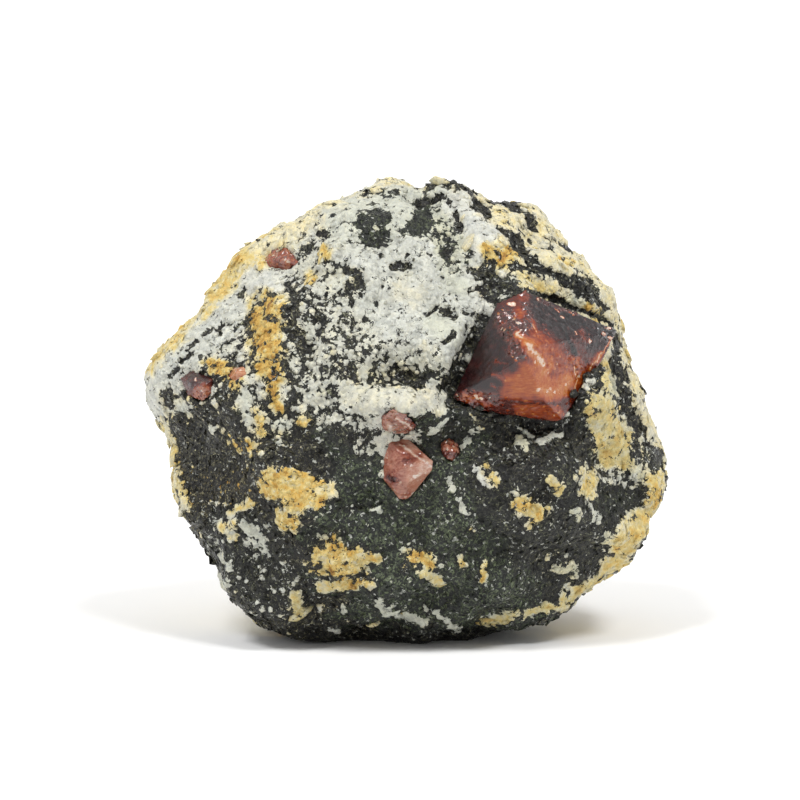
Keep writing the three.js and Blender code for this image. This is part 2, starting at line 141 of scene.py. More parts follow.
LAMP_SPREAD = math.radians(15)
LAMP_STRENGTH = 1.45
for side in (-1, 1):
    light = bpy.data.lights.new("soft_lamp", "SUN")
    light.angle = LAMP_SPREAD
    light.energy = LAMP_STRENGTH
    lamp = bpy.data.objects.new("soft_lamp", light)
    towards = Vector((side * 0.42, -0.5, 1.0))
    lamp.location = ROCK_MIDDLE + towards
    lamp.rotation_euler = (-towards).to_track_quat("-Z", "Y").to_euler()
    scene.collection.objects.link(lamp)

eye = bpy.data.cameras.new("eye")
eye.sensor_width = 36
eye.lens = 36 * EYE_DISTANCE / FRAME_WIDTH
eye.clip_start = 0.01
eye.clip_end = 20
camera = bpy.data.objects.new("eye", eye)
framed = ROCK_MIDDLE + Vector((FRAME_OFFSET[0], 0, 0)) + UP_FACE * FRAME_OFFSET[1]
camera.location = framed - INTO_ROCK * EYE_DISTANCE
camera.rotation_euler = INTO_ROCK.to_track_quat("-Z", "Y").to_euler()
scene.collection.objects.link(camera)
scene.camera = camera
scene.view_settings.view_transform = "Standard"

# -------------------------------------------------------------------- the rock
# One hand specimen of broken pegmatite: grey-white feldspar, black mica and
# green-black hornblende in grains of about half a millimetre, stained cream and
# ochre where water has run along its skin.
ROCK_VOXEL = 0.505 * MM

# The grain of the rock, from its lumps and sheaves of mica down to flecks and fibres.
LUMP = 2.4 * MM
SHEAF = 1.7 * MM
CLOUD = 1.3 * MM
LARGE_GRAIN = 1.15 * MM
BLOCK = 1.0 * MM
PEPPER = 0.62 * MM
PEPPER_LEAN = math.radians(35)
WOBBLE = 0.6 * MM
WOBBLE_REACH = 1.3 * MM
GRAIN = 0.45 * MM
CLOT = 0.4 * MM
GRIT = 0.3 * MM
FLECK = 0.2 * MM
FIBRE = (0.16 * MM, 0.3 * MM, 0.7 * MM)


def joined_copy(node):
    """A bmesh of a CAD node with its loose triangles joined."""
    shape = bmesh.new()
    shape.from_mesh(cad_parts[node].data)
    bmesh.ops.remove_doubles(shape, verts=shape.verts, dist=0.002 * MM)
    return shape


def settle(piece):
    """Turns a piece's modifiers into plain mesh."""
    graph = bpy.context.evaluated_depsgraph_get()
    finished = bpy.data.meshes.new_from_object(piece.evaluated_get(graph))
    piece.modifiers.clear()
    piece.data = finished


def remesh(shape, name, voxel):
    """A piece of even quads of one size over a closed shape."""
    mesh = bpy.data.meshes.new(name)
    shape.to_mesh(mesh)
    shape.free()
    piece = new_piece(mesh, name)
    modifier = piece.modifiers.new("even_quads", "REMESH")
    modifier.mode = "VOXEL"
    modifier.voxel_size = voxel
    modifier.use_smooth_shade = True
    settle(piece)
    return piece


def vertex_places(mesh):
    """Every vertex's place and normal, in metres, as two arrays."""
    places = np.empty(len(mesh.vertices) * 3)
    mesh.vertices.foreach_get("co", places)
    normals = np.empty(len(mesh.vertices) * 3)
    mesh.vertex_normals.foreach_get("vector", normals)
    return places.reshape(-1, 3), normals.reshape(-1, 3)


def write_values(mesh, name, values):
    """Keeps one value per vertex of a mesh under a name."""
    layer = mesh.attributes.new(name, "FLOAT", "POINT")
    layer.data.foreach_set("value", np.ascontiguousarray(values, np.float32))


def read_values(mesh, name):
    """The values that a mesh keeps under a name, one per vertex."""
    values = np.empty(len(mesh.vertices), np.float32)
    mesh.attributes[name].data.foreach_get("value", values)
    return values


def on_face(places):
    """Places laid on the plane through the rock's middle, across and up it in mm, as the eye sees them."""
    local = places - np.array(ROCK_MIDDLE)
    depth = local @ np.array(INTO_ROCK)
    nearer = EYE_DISTANCE / (EYE_DISTANCE + depth)
    return np.stack([local[:, 0] * nearer, local @ np.array(UP_FACE) * nearer], axis=1) / MM, depth / MM


def smooth_step(values, start, end):
    """0 before start, 1 after end and a smooth rise between."""
    share = np.clip((values - start) / (end - start), 0, 1)
    return share * share * (3 - 2 * share)


def ripple(places, size, seed):
    """Smooth noise from about -1 to 1 with features of one size, at each place."""
    shift = Vector((seed * 17.3, seed * 5.1, seed * 11.7))
    return np.array([noise.noise(Vector(p) / size + shift) for p in places])


def to_stroke(spots, points):
    """Each spot's distance in mm from a line through the points."""
    nearest = np.full(len(spots), 1e9)
    starts = points if len(points) == 1 else points[:-1]
    ends = points if len(points) == 1 else points[1:]
    for start, end in zip(np.array(starts, float), np.array(ends, float)):
        along = end - start
        length = max(along @ along, 1e-9)
        share = np.clip((spots - start) @ along / length, 0, 1)
        nearest = np.minimum(nearest, np.linalg.norm(spots - start - share[:, None] * along, axis=1))
    return nearest


# What a patch of each mineral is: the share of pale grains in it, how far those are
# stained from white to rust, how green it is, how far it stands out in mm, and how
# many of its grains stand proud.
MINERALS = {
    "mica": (0.05, 0.3, 0.1, 0.0, 0.5),
    "dull mica": (-0.06, 0.1, 0.3, -0.04, 0.2),
    "black": (-0.42, 0.1, 0.0, -0.16, 0.2),
    "crack": (-0.6, 0.1, 0.1, -0.3, 0.0),
    "hornblende": (-0.22, 0.05, 0.8, -0.08, 0.05),
    "green face": (-0.03, 0.05, 1.0, 0.0, 0.15),
    "blue": (0.04, 0.0, 0.6, 0.0, 0.15),
    "tan mica": (0.08, 0.6, 0.0, 0.0, 0.6),
    # Grainy mica: many of its grains stand proud, and many of its flecks are painted white as glints.
    "grainy mica with painted glints": (0.06, 0.1, 0.1, -0.1, 1.0),
    "flecked": (0.24, 0.05, 0.3, 0.0, 0.35),
    "pepper": (0.36, 0.25, 0.3, 0.0, 0.35),
    "salt": (0.62, 0.1, 0.2, 0.05, 0.3),
    "bright salt": (0.79, 0.1, 0.25, 0.05, 0.25),
    "salt ochre": (0.64, 0.55, 0.1, 0.05, 0.3),
    "green salt": (0.7, 0.12, 0.8, 0.0, 0.2),
    "feldspar": (1.2, 0.02, 0.2, 0.06, 0.14),
    "white": (1.25, 0.04, 0.0, 0.12, 0.06),
    "grey": (1.05, 0.04, 0.5, 0.08, 0.05),
    "rose": (1.05, 0.1, 0.0, 0.1, 0.1),
    "ledge": (1.35, 0.14, 0.1, 0.14, 0.05),
    "cream": (1.15, 0.31, 0.1, 0.1, 0.07),
    "pale green": (1.05, 0.22, 0.8, 0.1, 0.08),
    "yellow green": (1.08, 0.48, 0.5, 0.1, 0.05),
    "yellow": (1.22, 0.5, 0.1, 0.1, 0.05),
    "ochre": (0.93, 0.66, 0.0, 0.1, 0.25),
    "nest": (1.2, 0.56, 0.0, 0.3, 0.2),
    "smooth cream": (1.4, 0.15, 0.1, 0.2, 0.02),
    "smooth grey": (1.4, 0.04, 0.6, 0.18, 0.02),
    "rust": (0.95, 0.9, 0.0, 0.1, 0.15),
}

# The patches of the broad face, large ones first: the mineral, half the patch's
# width, and the line along its middle, in mm across and up from the rock's middle.
PATCHES = [
    ("green face", 13.0, (2, -10), (8, -12)),
    ("dull mica", 6.0, (13, -7), (18, -14)),
    ("tan mica", 4.5, (-22, -4), (-18, -8)),
    ("flecked", 3.2, (-17, -12), (-14, -17)),
    ("salt", 4.6, (-19, 6.5), (-10.5, 4.8)),
    ("salt", 5.0, (-13, 11), (-8, 7)),
    ("bright salt", 3.5, (-9, 17), (-6, 10), (-4.5, 3)),
    ("feldspar", 6.6, (0.2, 16), (1.5, 10.5)),
    ("cream", 3.4, (9.5, 20), (15, 16), (19.5, 11), (21.8, 8)),
    # the upper left
    ("yellow", 2.0, (-25.4, 4.5), (-20.8, 10.5), (-17, 14.7), (-14, 17.2)),
    ("cream", 1.7, (-14, 17.4), (-10, 19.7), (-6, 21.7)),
    ("feldspar", 1.5, (-23.5, 4.0), (-19.3, 8.4), (-15.9, 12.2)),
    ("yellow", 0.8, (-19.9, 10.6), (-17.9, 13)),
    ("white", 1.7, (-14.6, 13.2), (-12, 12)),
    ("black", 0.25, (-20.1, 8.1), (-19.3, 8.6)),
    ("black", 0.22, (-18.7, 8.3), (-18.1, 9.0)),
    ("black", 0.2, (-22.5, 5.3), (-21.3, 6.3)),
    ("black", 0.25, (-16.5, 12.0), (-16.1, 12.6)),
    ("black", 0.4, (-15.8, 9.3), (-14.5, 10.4)),
    ("salt ochre", 1.9, (-13.8, 10.6), (-14.0, 8), (-13.6, 5)),
    ("ochre", 1.2, (-13.4, 10.6), (-14.0, 8.5)),
    ("ochre", 1.1, (-13.0, 7), (-13.6, 5)),
    ("mica", 0.75, (-11.3, 12.2), (-10.9, 9), (-10.0, 7)),
    ("salt", 0.9, (-9.6, 12.0), (-9.4, 9.6), (-8.6, 7.4)),
    ("grey", 0.4, (-9.6, 7.6), (-9.3, 8.6)),
    ("mica", 0.55, (-7.9, 9.8), (-7.6, 8.0)),
    ("mica", 0.5, (-6.8, 6.0), (-4.6, 3.2)),
    ("ochre", 0.65, (-9.5, 13.7)),
    ("ochre", 0.6, (-7.9, 16.1)),
    ("nest", 0.6, (-14.4, 15.1)),
    ("salt ochre", 0.9, (-19, 5.0), (-17, 3)),
    # the top and the white face
    ("cream", 0.9, (-2.6, 22.9), (0.5, 23.1)),
    ("crack", 0.26, (-7.5, 18.2), (-5.6, 19.9), (-4, 21.1), (-2.1, 21.7), (0.2, 22.1)),
    ("black", 0.2, (-2.5, 22.3), (-0.8, 22.4)),
    ("grey", 2.3, (-5.6, 19.0), (-1, 20.4), (3.4, 20.0)),
    ("hornblende", 0.9, (-4.2, 19.4), (-3.8, 18.2)),
    ("hornblende", 1.0, (-2.4, 19.5), (-2.3, 18.3)),
    ("hornblende", 0.7, (-3.6, 17.8), (-2.2, 17.6)),
    ("green salt", 0.3, (-3.1, 18.9), (-2.9, 18.5)),
    ("hornblende", 0.6, (1.7, 20.8), (1.7, 19.4)),
    ("hornblende", 0.95, (0.7, 18.5), (2.0, 18.8)),
    ("black", 0.26, (1.2, 21.2), (3.0, 21.5), (3.7, 21.8), (4.6, 20.9)),
    ("black", 0.45, (3.9, 21.3), (4.5, 20.9)),
    ("black", 0.4, (5.6, 22.2), (5.8, 21.9)),
    ("green salt", 1.4, (3.9, 19.4), (4.8, 15.6)),
    ("white", 1.3, (5.2, 21.3), (6.4, 19.6), (8.2, 17.9), (8.2, 16.8)),
    ("cream", 0.3, (5.7, 19.5)),
    ("cream", 0.3, (6.2, 17.4)),
    ("ochre", 0.8, (8.6, 16.1), (10.0, 15.9), (10.1, 14.8)),
    ("smooth cream", 1.2, (-0.6, 12.9), (0.9, 12.1)),
    ("smooth cream", 0.7, (1.6, 6.9), (2.6, 6.3)),
    ("smooth grey", 1.1, (2.7, 9.5), (4.2, 8.4)),
    ("smooth grey", 0.8, (4.6, 13.4), (5.4, 12.8)),
    ("black", 0.24, (0.2, 16.1)),
    ("black", 0.2, (2.4, 16.1)),
    ("black", 0.3, (-1.3, 14.8), (0.2, 14.9)),
    ("black", 0.22, (-2.4, 12.9)),
    ("black", 0.2, (2.2, 9.9), (3.3, 10.9)),
    ("black", 0.38, (3.7, 10.6), (4.7, 9.9)),
    ("black", 0.18, (3.6, 7.2), (4.3, 7.5), (4.8, 8.2)),
    ("black", 0.2, (6.3, 12.3), (7.3, 12.8)),
    ("black", 0.28, (4.3, 16.7), (4.4, 15.7)),
    ("black", 0.3, (5.1, 20.1), (5.4, 18.7)),
    ("mica", 0.5, (-5.9, 14.4), (-4.6, 14.0)),
    ("mica", 0.5, (-5.5, 12.8), (-4.4, 13.0)),
    ("mica", 0.5, (-8.1, 18.1)),
    ("salt", 1.9, (-7, 10), (-4.5, 7), (-1.5, 5.3)),
    # The trough left of the great zircon: grainy black mica with painted glints.
    ("grainy mica with painted glints", 1.2, (9.3, 11.5), (7.8, 8), (6.1, 5), (4.8, 2.6)),
    # Painted glints: two white specks in the trough.
    ("white", 0.22, (6.3, 5.9), (6.5, 5.3)),
    ("white", 0.24, (7.3, 6.0), (7.1, 5.2)),
    ("white", 0.5, (7.6, 10.9), (8.8, 10.4)),
    # the bands of the upper right
    ("cream", 1.5, (12.6, 16.6), (15.0, 15.0), (17.3, 14.2)),
    ("mica", 0.8, (10.2, 14.5), (11.6, 14.6)),
    ("yellow", 0.75, (11.6, 13.5), (13.2, 12.9), (14.4, 12.3)),
    ("cream", 0.75, (12.0, 15.9), (12.9, 15.0)),
    ("cream", 0.8, (15.8, 12.4), (16.1, 11.9)),
    ("cream", 0.9, (19.8, 10.2), (20.8, 9.4)),
    ("pepper", 1.2, (8.8, 13.9), (10.4, 13.2)),
    ("flecked", 0.9, (9.3, 12.4), (9.8, 11.9)),
    ("white", 0.3, (9.6, 14.2)),
    ("grey", 0.25, (10.9, 13.6)),
    ("ochre", 0.9, (8.8, 16.2), (10.2, 15.8)),
    ("black", 0.36, (8.4, 21.7), (10.3, 21.1), (11.9, 20.2), (12.4, 19.5), (12.6, 18.5), (13.1, 18.3)),
    ("crack", 0.16, (13.3, 18.1), (14.1, 17.6), (15.2, 17.2), (16.3, 16.8)),
    ("crack", 0.14, (15.0, 17.3), (17.2, 16.2)),
    ("black", 0.45, (7.1, 21.1), (8.2, 20.1)),
    ("black", 0.45, (10.9, 17.4), (11.8, 16.4), (13.2, 15.0)),
    ("black", 0.3, (9.6, 18.5), (10.6, 18.0), (11.4, 17.3)),
    ("black", 0.4, (13.8, 14.6), (15.0, 14.0), (16.1, 13.3)),
    ("black", 0.9, (17.3, 13.0), (18.6, 12.0)),
    ("black", 0.3, (19.3, 11.2), (20.3, 10.6)),
    ("crack", 0.14, (11.0, 15.2), (12.4, 14.4), (13.8, 14.0)),
    ("crack", 0.12, (12.3, 17.5), (13.1, 16.7), (14.5, 16.7), (15.1, 16.1)),
    ("pale green", 0.6, (16.6, 11.5), (17.3, 11.1)),
    ("ochre", 0.6, (18.2, 10.8), (19.0, 10.2)),
    ("ochre", 0.3, (15.5, 15.5), (16.6, 15.2)),
    ("crack", 0.22, (11.6, 12.6), (14.1, 11.9), (16.2, 10.9), (18.0, 10.4), (19.9, 9.6), (20.9, 8.8)),
    # the left
    ("mica", 2.6, (-20, -2.5), (-15, -2.8), (-10.5, -4.6)),
    ("pepper", 1.3, (-15.5, -0.2), (-11.5, -1.0)),
    ("white", 1.1, (-25.6, 3), (-24.8, 0.5)),
    ("grey", 0.7, (-23.4, 0.9), (-22, 0.6)),
    ("mica", 0.5, (-23.7, -0.6), (-23.4, -1.6)),
    ("mica", 0.5, (-24.1, 1.9), (-23.5, 1.0)),
    ("black", 0.2, (-23.7, 3.8), (-22.6, 4.7)),
    ("black", 0.2, (-21.6, 6.9), (-20.8, 7.4)),
    ("ochre", 0.6, (-18.9, 5.2), (-17.7, 4.9)),
    ("ochre", 0.6, (-13.2, 3.2), (-12.7, 0.6)),
    ("nest", 0.5, (-14.9, 0.6), (-14.4, -1.9)),
    ("nest", 0.7, (-10.1, -0.8)),
    ("grey", 0.6, (-15.9, 2), (-15.7, -0.4)),
    ("grey", 0.4, (-12.6, -0.6), (-11.6, -1.1)),
    ("grey", 0.4, (-19.2, -1.4)),
    ("grey", 0.38, (-14.3, -3.7)),
    ("grey", 0.38, (-12.7, -2.8)),
    ("salt ochre", 0.6, (-17, -2.8), (-14.8, -3.3)),
    ("cream", 0.5, (-24, -0.8), (-23.3, -4.6)),
    ("cream", 0.5, (-22.9, -6), (-22, -9.3)),
    ("yellow", 1.0, (-14.0, -6.8), (-12.6, -7.4)),
    ("ochre", 1.8, (-12.4, -7.2), (-8.8, -7.5)),
    ("nest", 0.9, (-12.4, -6.9), (-10.6, -6.8), (-8.4, -7.3)),
    ("nest", 1.2, (-11.6, -8.4), (-9.4, -8.3)),
    ("nest", 1.0, (-11.5, -9.8), (-11.6, -10.5)),
    ("cream", 0.5, (-7.4, -6.6), (-7.3, -8.0)),
    ("black", 1.0, (-8.5, -5.0), (-8.2, -5.2)),
    ("yellow", 0.34, (-17.6, -9.8), (-16.2, -9.2), (-15.2, -8.5)),
    ("yellow", 0.5, (-18.4, -11.3), (-17.2, -10.8)),
    ("yellow", 0.3, (-17.4, -12.2), (-16.8, -12.0)),
    ("white", 0.14, (-20.2, -8.6), (-17.8, -9.0)),
    ("grey", 0.55, (-15.7, -11.1), (-14.6, -12.2), (-14.0, -13.6)),
    # the middle
    ("salt", 1.9, (-7.4, 0.5), (-5.8, -1), (-4.2, -2)),
    ("bright salt", 1.3, (-3.2, 5.4), (0, 5.6), (3.2, 4.6)),
    ("pepper", 0.8, (-2.8, 3.8), (1, 3.8)),
    ("mica", 0.55, (-1.2, 4.3), (0.4, 4.2)),
    ("salt", 0.8, (-8.2, 3.4), (-6.8, 2.0)),
    ("ledge", 1.1, (-5, 1.6), (-2.5, 1.7), (0, 1.3)),
    ("ledge", 1.2, (0, 1.4), (2.2, 1.8), (3.4, 1)),
    ("rose", 1.0, (-2.4, -0.2), (-2.2, -2.2), (-2.2, -3.6)),
    ("rose", 0.7, (-0.6, -2.3), (0.6, -2.2)),
    ("rose", 0.4, (-2.0, -4.6), (-1.9, -5.8)),
    ("blue", 1.6, (3.8, -2), (6, -0.6)),
    ("grey", 0.3, (2.5, -1.7), (3.9, -0.5)),
    ("grey", 0.35, (5.8, -3), (6.4, -1.8), (7.3, -1.4)),
    ("grey", 0.45, (-3.3, -9.6), (-2.6, -9.6)),
    ("grey", 0.42, (-5.4, -9.4)),
    ("grey", 0.42, (4.5, -6.3)),
    ("grey", 0.38, (4.55, -7.4)),
    ("grey", 0.36, (5.4, -8.6), (6.2, -9.6)),
    ("yellow", 0.35, (6.7, -11.4)),
    ("white", 0.32, (7, -5), (7.6, -6.2), (8.6, -7.3)),
    ("salt ochre", 0.5, (8.1, -5.2), (9.2, -7)),
    ("ochre", 0.42, (7, 0.1), (7.8, -0.9)),
    ("crack", 0.12, (-6.7, -9.5), (-1.5, -8.7)),
    # the right
    # Black under the great zircon: dark mica, with painted shade of the hollow beneath it.
    ("black", 1.2, (8.6, -0.4), (12, -1.2), (15.6, -1.3)),
    ("black", 1.5, (10.2, -2.8), (11.4, -5.4)),
    ("black", 0.7, (13.2, -4.2), (14.0, -8.2)),
    ("black", 0.3, (15.4, -8.6), (16.2, -11.4)),
    ("grey", 0.25, (11.2, -1.2), (12.6, -2)),
    ("pale green", 0.4, (11.3, -2.3), (12.2, -3.2)),
    ("grey", 0.4, (13.6, -2.6), (15.6, -1.8)),
    ("yellow green", 0.6, (20.1, 4.9), (19.9, 2.8)),
    ("yellow green", 1.5, (19.4, 1), (19.8, -1)),
    ("yellow green", 2.0, (20.9, -2), (21.2, -4)),
    ("pale green", 0.6, (21.2, 3.7), (21.2, 2.5)),
    ("salt", 0.8, (21.6, 1), (22.8, -0.6)),
    (
        "black", 0.45,
        (21.2, 7.7), (21.0, 5.3), (21.8, 3.1), (22.5, 1.0), (23.4, -1.0), (24.7, -3.4), (26, -5),
    ),
    ("cream", 0.7, (22.1, 5.8), (22.9, 3.1), (23.7, 1.2), (24.4, -0.7), (25.5, -2.6)),
    ("pepper", 1.2, (23.9, -4), (25.2, -4.8)),
    ("pale green", 0.75, (23.2, -6.2)),
    ("salt", 0.9, (19.8, -6), (22.3, -6.4)),
    ("ochre", 1.1, (11.9, -8.9), (12.9, -9.8)),
    ("nest", 0.5, (12.0, -9.2), (12.6, -9.8)),
    ("yellow green", 0.65, (14.8, -6.6), (15.4, -7.6)),
    ("yellow", 0.8, (18.2, -6), (18.2, -7.6)),
    ("pale green", 0.35, (17, -9.5), (17.4, -10.3)),
    ("grey", 0.45, (18.6, -9), (19.3, -10.4)),
    ("pale green", 0.6, (20, -12.2), (20.6, -12.8)),
    ("blue", 1.3, (20.7, -8.9), (23, -8.7)),
    ("nest", 0.9, (25.0, -6.7), (24.6, -8.5)),
    ("yellow", 1.3, (23.4, -10.3), (22, -12.8), (20.8, -15)),
    # the foot of the face
    # Black along the foot: painted contact shadow where the rock meets the card.
    ("black", 0.8, (-9, -22.2), (0, -22.6), (8, -22.2)),
    ("black", 0.25, (-15.6, -15.2), (-12.6, -19.4)),
    ("grey", 0.3, (-18.4, -14), (-17.6, -15.2)),
    ("grey", 0.4, (-19.2, -15.6), (-17.8, -17.0)),
    ("salt ochre", 2.1, (-7.6, -14.1), (-5.4, -15.4)),
    ("nest", 1.0, (-7.3, -13.7), (-6.4, -15.0), (-5.6, -14.6)),
    ("nest", 0.5, (-4.6, -14.1), (-2.7, -14.2)),
    ("nest", 0.55, (-4.5, -16.3), (-3.3, -17.1)),
    ("yellow", 0.5, (-8.4, -17.1), (-6.3, -16.9)),
    ("ochre", 0.4, (-6.0, -16.6), (-4.8, -16.9)),
    ("rust", 0.25, (-7.6, -15.2), (-7.4, -15.7)),
    ("mica", 0.35, (-5.4, -16.0), (-4.2, -15.7)),
    ("yellow green", 0.75, (-10.9, -18.4), (-10.6, -19.6)),
    ("white", 0.32, (-8.5, -19.4)),
    ("grey", 0.42, (-6.2, -19.5)),
    ("grey", 0.45, (-2.7, -18.7), (-1.6, -19.6)),
    ("white", 0.25, (-7.5, -21.3), (-6.7, -21.6)),
    ("ochre", 0.9, (0.8, -13.9), (2.4, -14.6)),
    ("ochre", 0.4, (-0.1, -15.4)),
    ("yellow green", 0.45, (1.8, -16), (3.4, -16.5)),
    ("nest", 0.35, (5.6, -14.4), (5.8, -15)),
    ("nest", 0.42, (7.9, -14.9), (7.7, -16.3)),
    ("pepper", 1.5, (14.6, -15), (17.0, -16.2)),
    ("pale green", 0.5, (15.4, -15.4), (17.0, -15.6)),
    ("grey", 0.35, (-0.8, -19.7), (2.2, -20.9)),
    ("grey", 0.32, (2.2, -19.4), (3.2, -19.6)),
    ("grey", 0.35, (3.6, -20.3), (5.3, -21.4)),
    ("yellow green", 0.5, (8.0, -20.9), (11.1, -19.8), (15.4, -19.1), (19.5, -16)),
]
PATCH_EDGE = 1.4
EDGE_WANDER = 0.5


def minerals_at(places, normals):
    """The mineral values at each place of the rock's skin, as columns."""
    spots, depth = on_face(places)
    wander = np.stack([ripple(places, 1.3 * MM, 1), ripple(places, 1.3 * MM, 2)], axis=1)
    ragged = np.stack([ripple(places, 0.5 * MM, 10), ripple(places, 0.5 * MM, 11)], axis=1)
    wander = wander * EDGE_WANDER + ragged * 0.4
    swell = 1 + 0.45 * ripple(places, 1.7 * MM, 12)
    mixed = np.tile(np.array(MINERALS["mica"]), (len(places), 1))
    for mineral, half_width, *line in PATCHES:
        edge = min(PATCH_EDGE, 1.5 * half_width) / 2
        strayed = spots + wander * min(1, 0.25 + 0.75 * half_width)
        share = smooth_step(half_width * swell - to_stroke(strayed, line), -edge, edge)[:, None]
        mixed = mixed * (1 - share) + np.array(MINERALS[mineral]) * share
    crust = crust_at(places)
    facing = -(normals @ np.array(INTO_ROCK))
    to_eye = smooth_step(facing + 0.12 * ripple(places, 2.5 * MM, 3), -0.22, 0.0)
    front = to_eye * smooth_step(-depth, -16, -10)
    return mixed * front[:, None] + crust * (1 - front[:, None])


# The weathered skin of the sides and back: cream and ochre crust with beds of dark
# mica that run through the rock as layers, and some clean feldspar.
BED_NORMAL = Vector((0.62, 0.35, 0.70)).normalized()
BED_ALONG = BED_NORMAL.orthogonal().normalized()
BED_ACROSS = BED_NORMAL.cross(BED_ALONG)


def crust_at(places):
    """The mineral values of the weathered sides and back."""
    local = places - np.array(ROCK_MIDDLE)
    bedded = np.stack(
        [local @ np.array(BED_NORMAL), local @ np.array(BED_ALONG) / 4, local @ np.array(BED_ACROSS) / 3.2],
        axis=1,
    )
    beds = ripple(bedded, 1.9 * MM, 4) + 0.45 * ripple(places, 1.1 * MM, 5)
    broad = ripple(places, 11 * MM, 6)
    stain = 0.42 + 0.42 * ripple(places, 6 * MM, 7) + 0.25 * ripple(places, 2 * MM, 8)
    pale = 1.05 - 1.0 * smooth_step(-beds + 0.55 * broad, 0.12, 0.5)
    green = 0.3 + 0.5 * ripple(places, 5 * MM, 9)
    lift = 0.16 * smooth_step(beds, -0.2, 0.3)
    grainy = 0.05 + 0.3 * (pale < 0.8)
    return np.stack([pale, np.clip(stain, 0.0, 0.95), np.clip(green, 0, 1), lift, grainy], axis=1)


# The broad face has quads of half the size, but not behind the great zircon.
HIDDEN_SHARE = 0.6
FRONT_LIMIT = 0.06
rock = remesh(joined_copy("matrix"), "rock", ROCK_VOXEL)
finer = bmesh.new()
finer.from_mesh(rock.data)
finer.normal_update()
socket_low, socket_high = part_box("zircon_great")
socket_middle = (Vector(socket_low) + Vector(socket_high)) / 2
socket_half = (Vector(socket_high) - Vector(socket_low)) / 2 * HIDDEN_SHARE
front_faces = [
    f for f in finer.faces
    if f.normal.dot(INTO_ROCK) < FRONT_LIMIT
    and any(abs(f.verts[0].co[axis] - socket_middle[axis]) > socket_half[axis] for axis in (0, 1, 2))
]
front_edges = list({e for f in front_faces for e in f.edges})
bmesh.ops.subdivide_edges(finer, edges=front_edges, cuts=1, use_grid_fill=True)
finer.to_mesh(rock.data)
finer.free()

places, normals = vertex_places(rock.data)
mineral_values = minerals_at(places, normals)
off_foot = smooth_step(places[:, 2] / MM, 0.1, 1.2)
for column, name in enumerate(("pale", "stain", "green", "lift", "grainy")):
    write_values(rock.data, name, mineral_values[:, column])
write_values(rock.data, "off_foot", off_foot)


def grain_pattern(tree, place, pale_share, grainy):
    """Where grains are pale, how far inside a pale one, the grains' cells and their bent places."""
    # Bent places give the grains ragged edges.
    wobble = add(
        tree, "ShaderNodeTexNoise", {"Vector": place, "Scale": 1 / WOBBLE, "Detail": 4.0, "Roughness": 0.6},
    )
    centred = add(
        tree, "ShaderNodeVectorMath", {0: wobble.outputs[1], 1: (0.5, 0.5, 0.5)}, operation="SUBTRACT",
    )
    small = add(tree, "ShaderNodeVectorMath", {0: centred, "Scale": WOBBLE_REACH}, operation="SCALE")
    bent = add(tree, "ShaderNodeVectorMath", {0: place, 1: small}, operation="ADD").outputs[0]
    # Grains lie in large clusters and blocks; where they are darker than the share of
    # pale grains allows, they are mica.
    cells = add(tree, "ShaderNodeTexVoronoi", {"Vector": bent, "Scale": 1 / GRAIN}, feature="F1")
    tone = add(tree, "ShaderNodeSeparateXYZ", {0: cells.outputs[1]})
    broad = add(
        tree, "ShaderNodeTexNoise",
        {"Vector": place, "Scale": 1 / LARGE_GRAIN, "Detail": 4.0, "Roughness": 0.7},
    )
    borders = add(
        tree, "ShaderNodeTexVoronoi", {"Vector": bent, "Scale": 1 / BLOCK}, feature="DISTANCE_TO_EDGE",
    )
    in_border = add(
        tree, "ShaderNodeMapRange", {"Value": borders, "From Max": 0.3, "To Min": 0.22, "To Max": -0.1},
    )
    spread = add(tree, "ShaderNodeMapRange", {"Value": broad, "From Min": 0.29, "From Max": 0.71})
    mixed = add(tree, "ShaderNodeMix", {0: 0.2, 2: spread, 3: tone})
    darkness = add(tree, "ShaderNodeMath", {0: mixed, 1: in_border}, operation="ADD")
    even = add(
        tree, "ShaderNodeMapRange", {"Value": darkness, "From Min": 0.2, "From Max": 0.82}, clamp=False,
    )
    share_above = add(tree, "ShaderNodeMath", {0: pale_share, 1: even}, operation="SUBTRACT")
    # Dark cracks between the blocks and grains of mica like pepper break up the pale ones.
    crack_near = add(
        tree, "ShaderNodeMapRange",
        {"Value": borders, "From Min": 0.02, "From Max": 0.045, "To Min": 1.0, "To Max": 0.0},
    )
    crack_where = add(tree, "ShaderNodeMapRange", {"Value": broad, "From Min": 0.53, "From Max": 0.57})
    crack = add(tree, "ShaderNodeMath", {0: crack_near, 1: crack_where}, operation="MULTIPLY")
    slanted = add(
        tree, "ShaderNodeVectorRotate", {"Vector": bent, "Angle": PEPPER_LEAN}, rotation_type="Y_AXIS",
    )
    long = add(tree, "ShaderNodeVectorMath", {0: slanted, 1: (1.6, 1.0, 0.6)}, operation="MULTIPLY")
    pepper = add(tree, "ShaderNodeTexVoronoi", {"Vector": long, "Scale": 1 / PEPPER}, feature="F1")
    pepper_tone = add(tree, "ShaderNodeSeparateXYZ", {0: pepper.outputs[1]})
    pepper_size = add(
        tree, "ShaderNodeMapRange",
        {"Value": pepper_tone, "From Min": 0.66, "From Max": 1.0, "To Min": 0.0, "To Max": 0.3},
    )
    in_pepper = add(tree, "ShaderNodeMath", {0: pepper_size, 1: pepper}, operation="SUBTRACT")
    peppered = add(tree, "ShaderNodeMapRange", {"Value": in_pepper, "From Min": -0.03, "From Max": 0.01})
    broken = add(tree, "ShaderNodeMath", {0: crack, 1: peppered}, operation="MAXIMUM")
    broken_by = add(
        tree, "ShaderNodeMapRange",
        {"Value": grainy, "From Min": 0.04, "From Max": 0.16, "To Min": -0.2, "To Max": -0.9},
    )
    above = add(tree, "ShaderNodeMath", {0: broken, 1: broken_by, 2: share_above}, operation="MULTIPLY_ADD")
    paleness = add(tree, "ShaderNodeMapRange", {"Value": above, "From Min": -0.04, "From Max": 0.06})
    return paleness, above, cells, bent


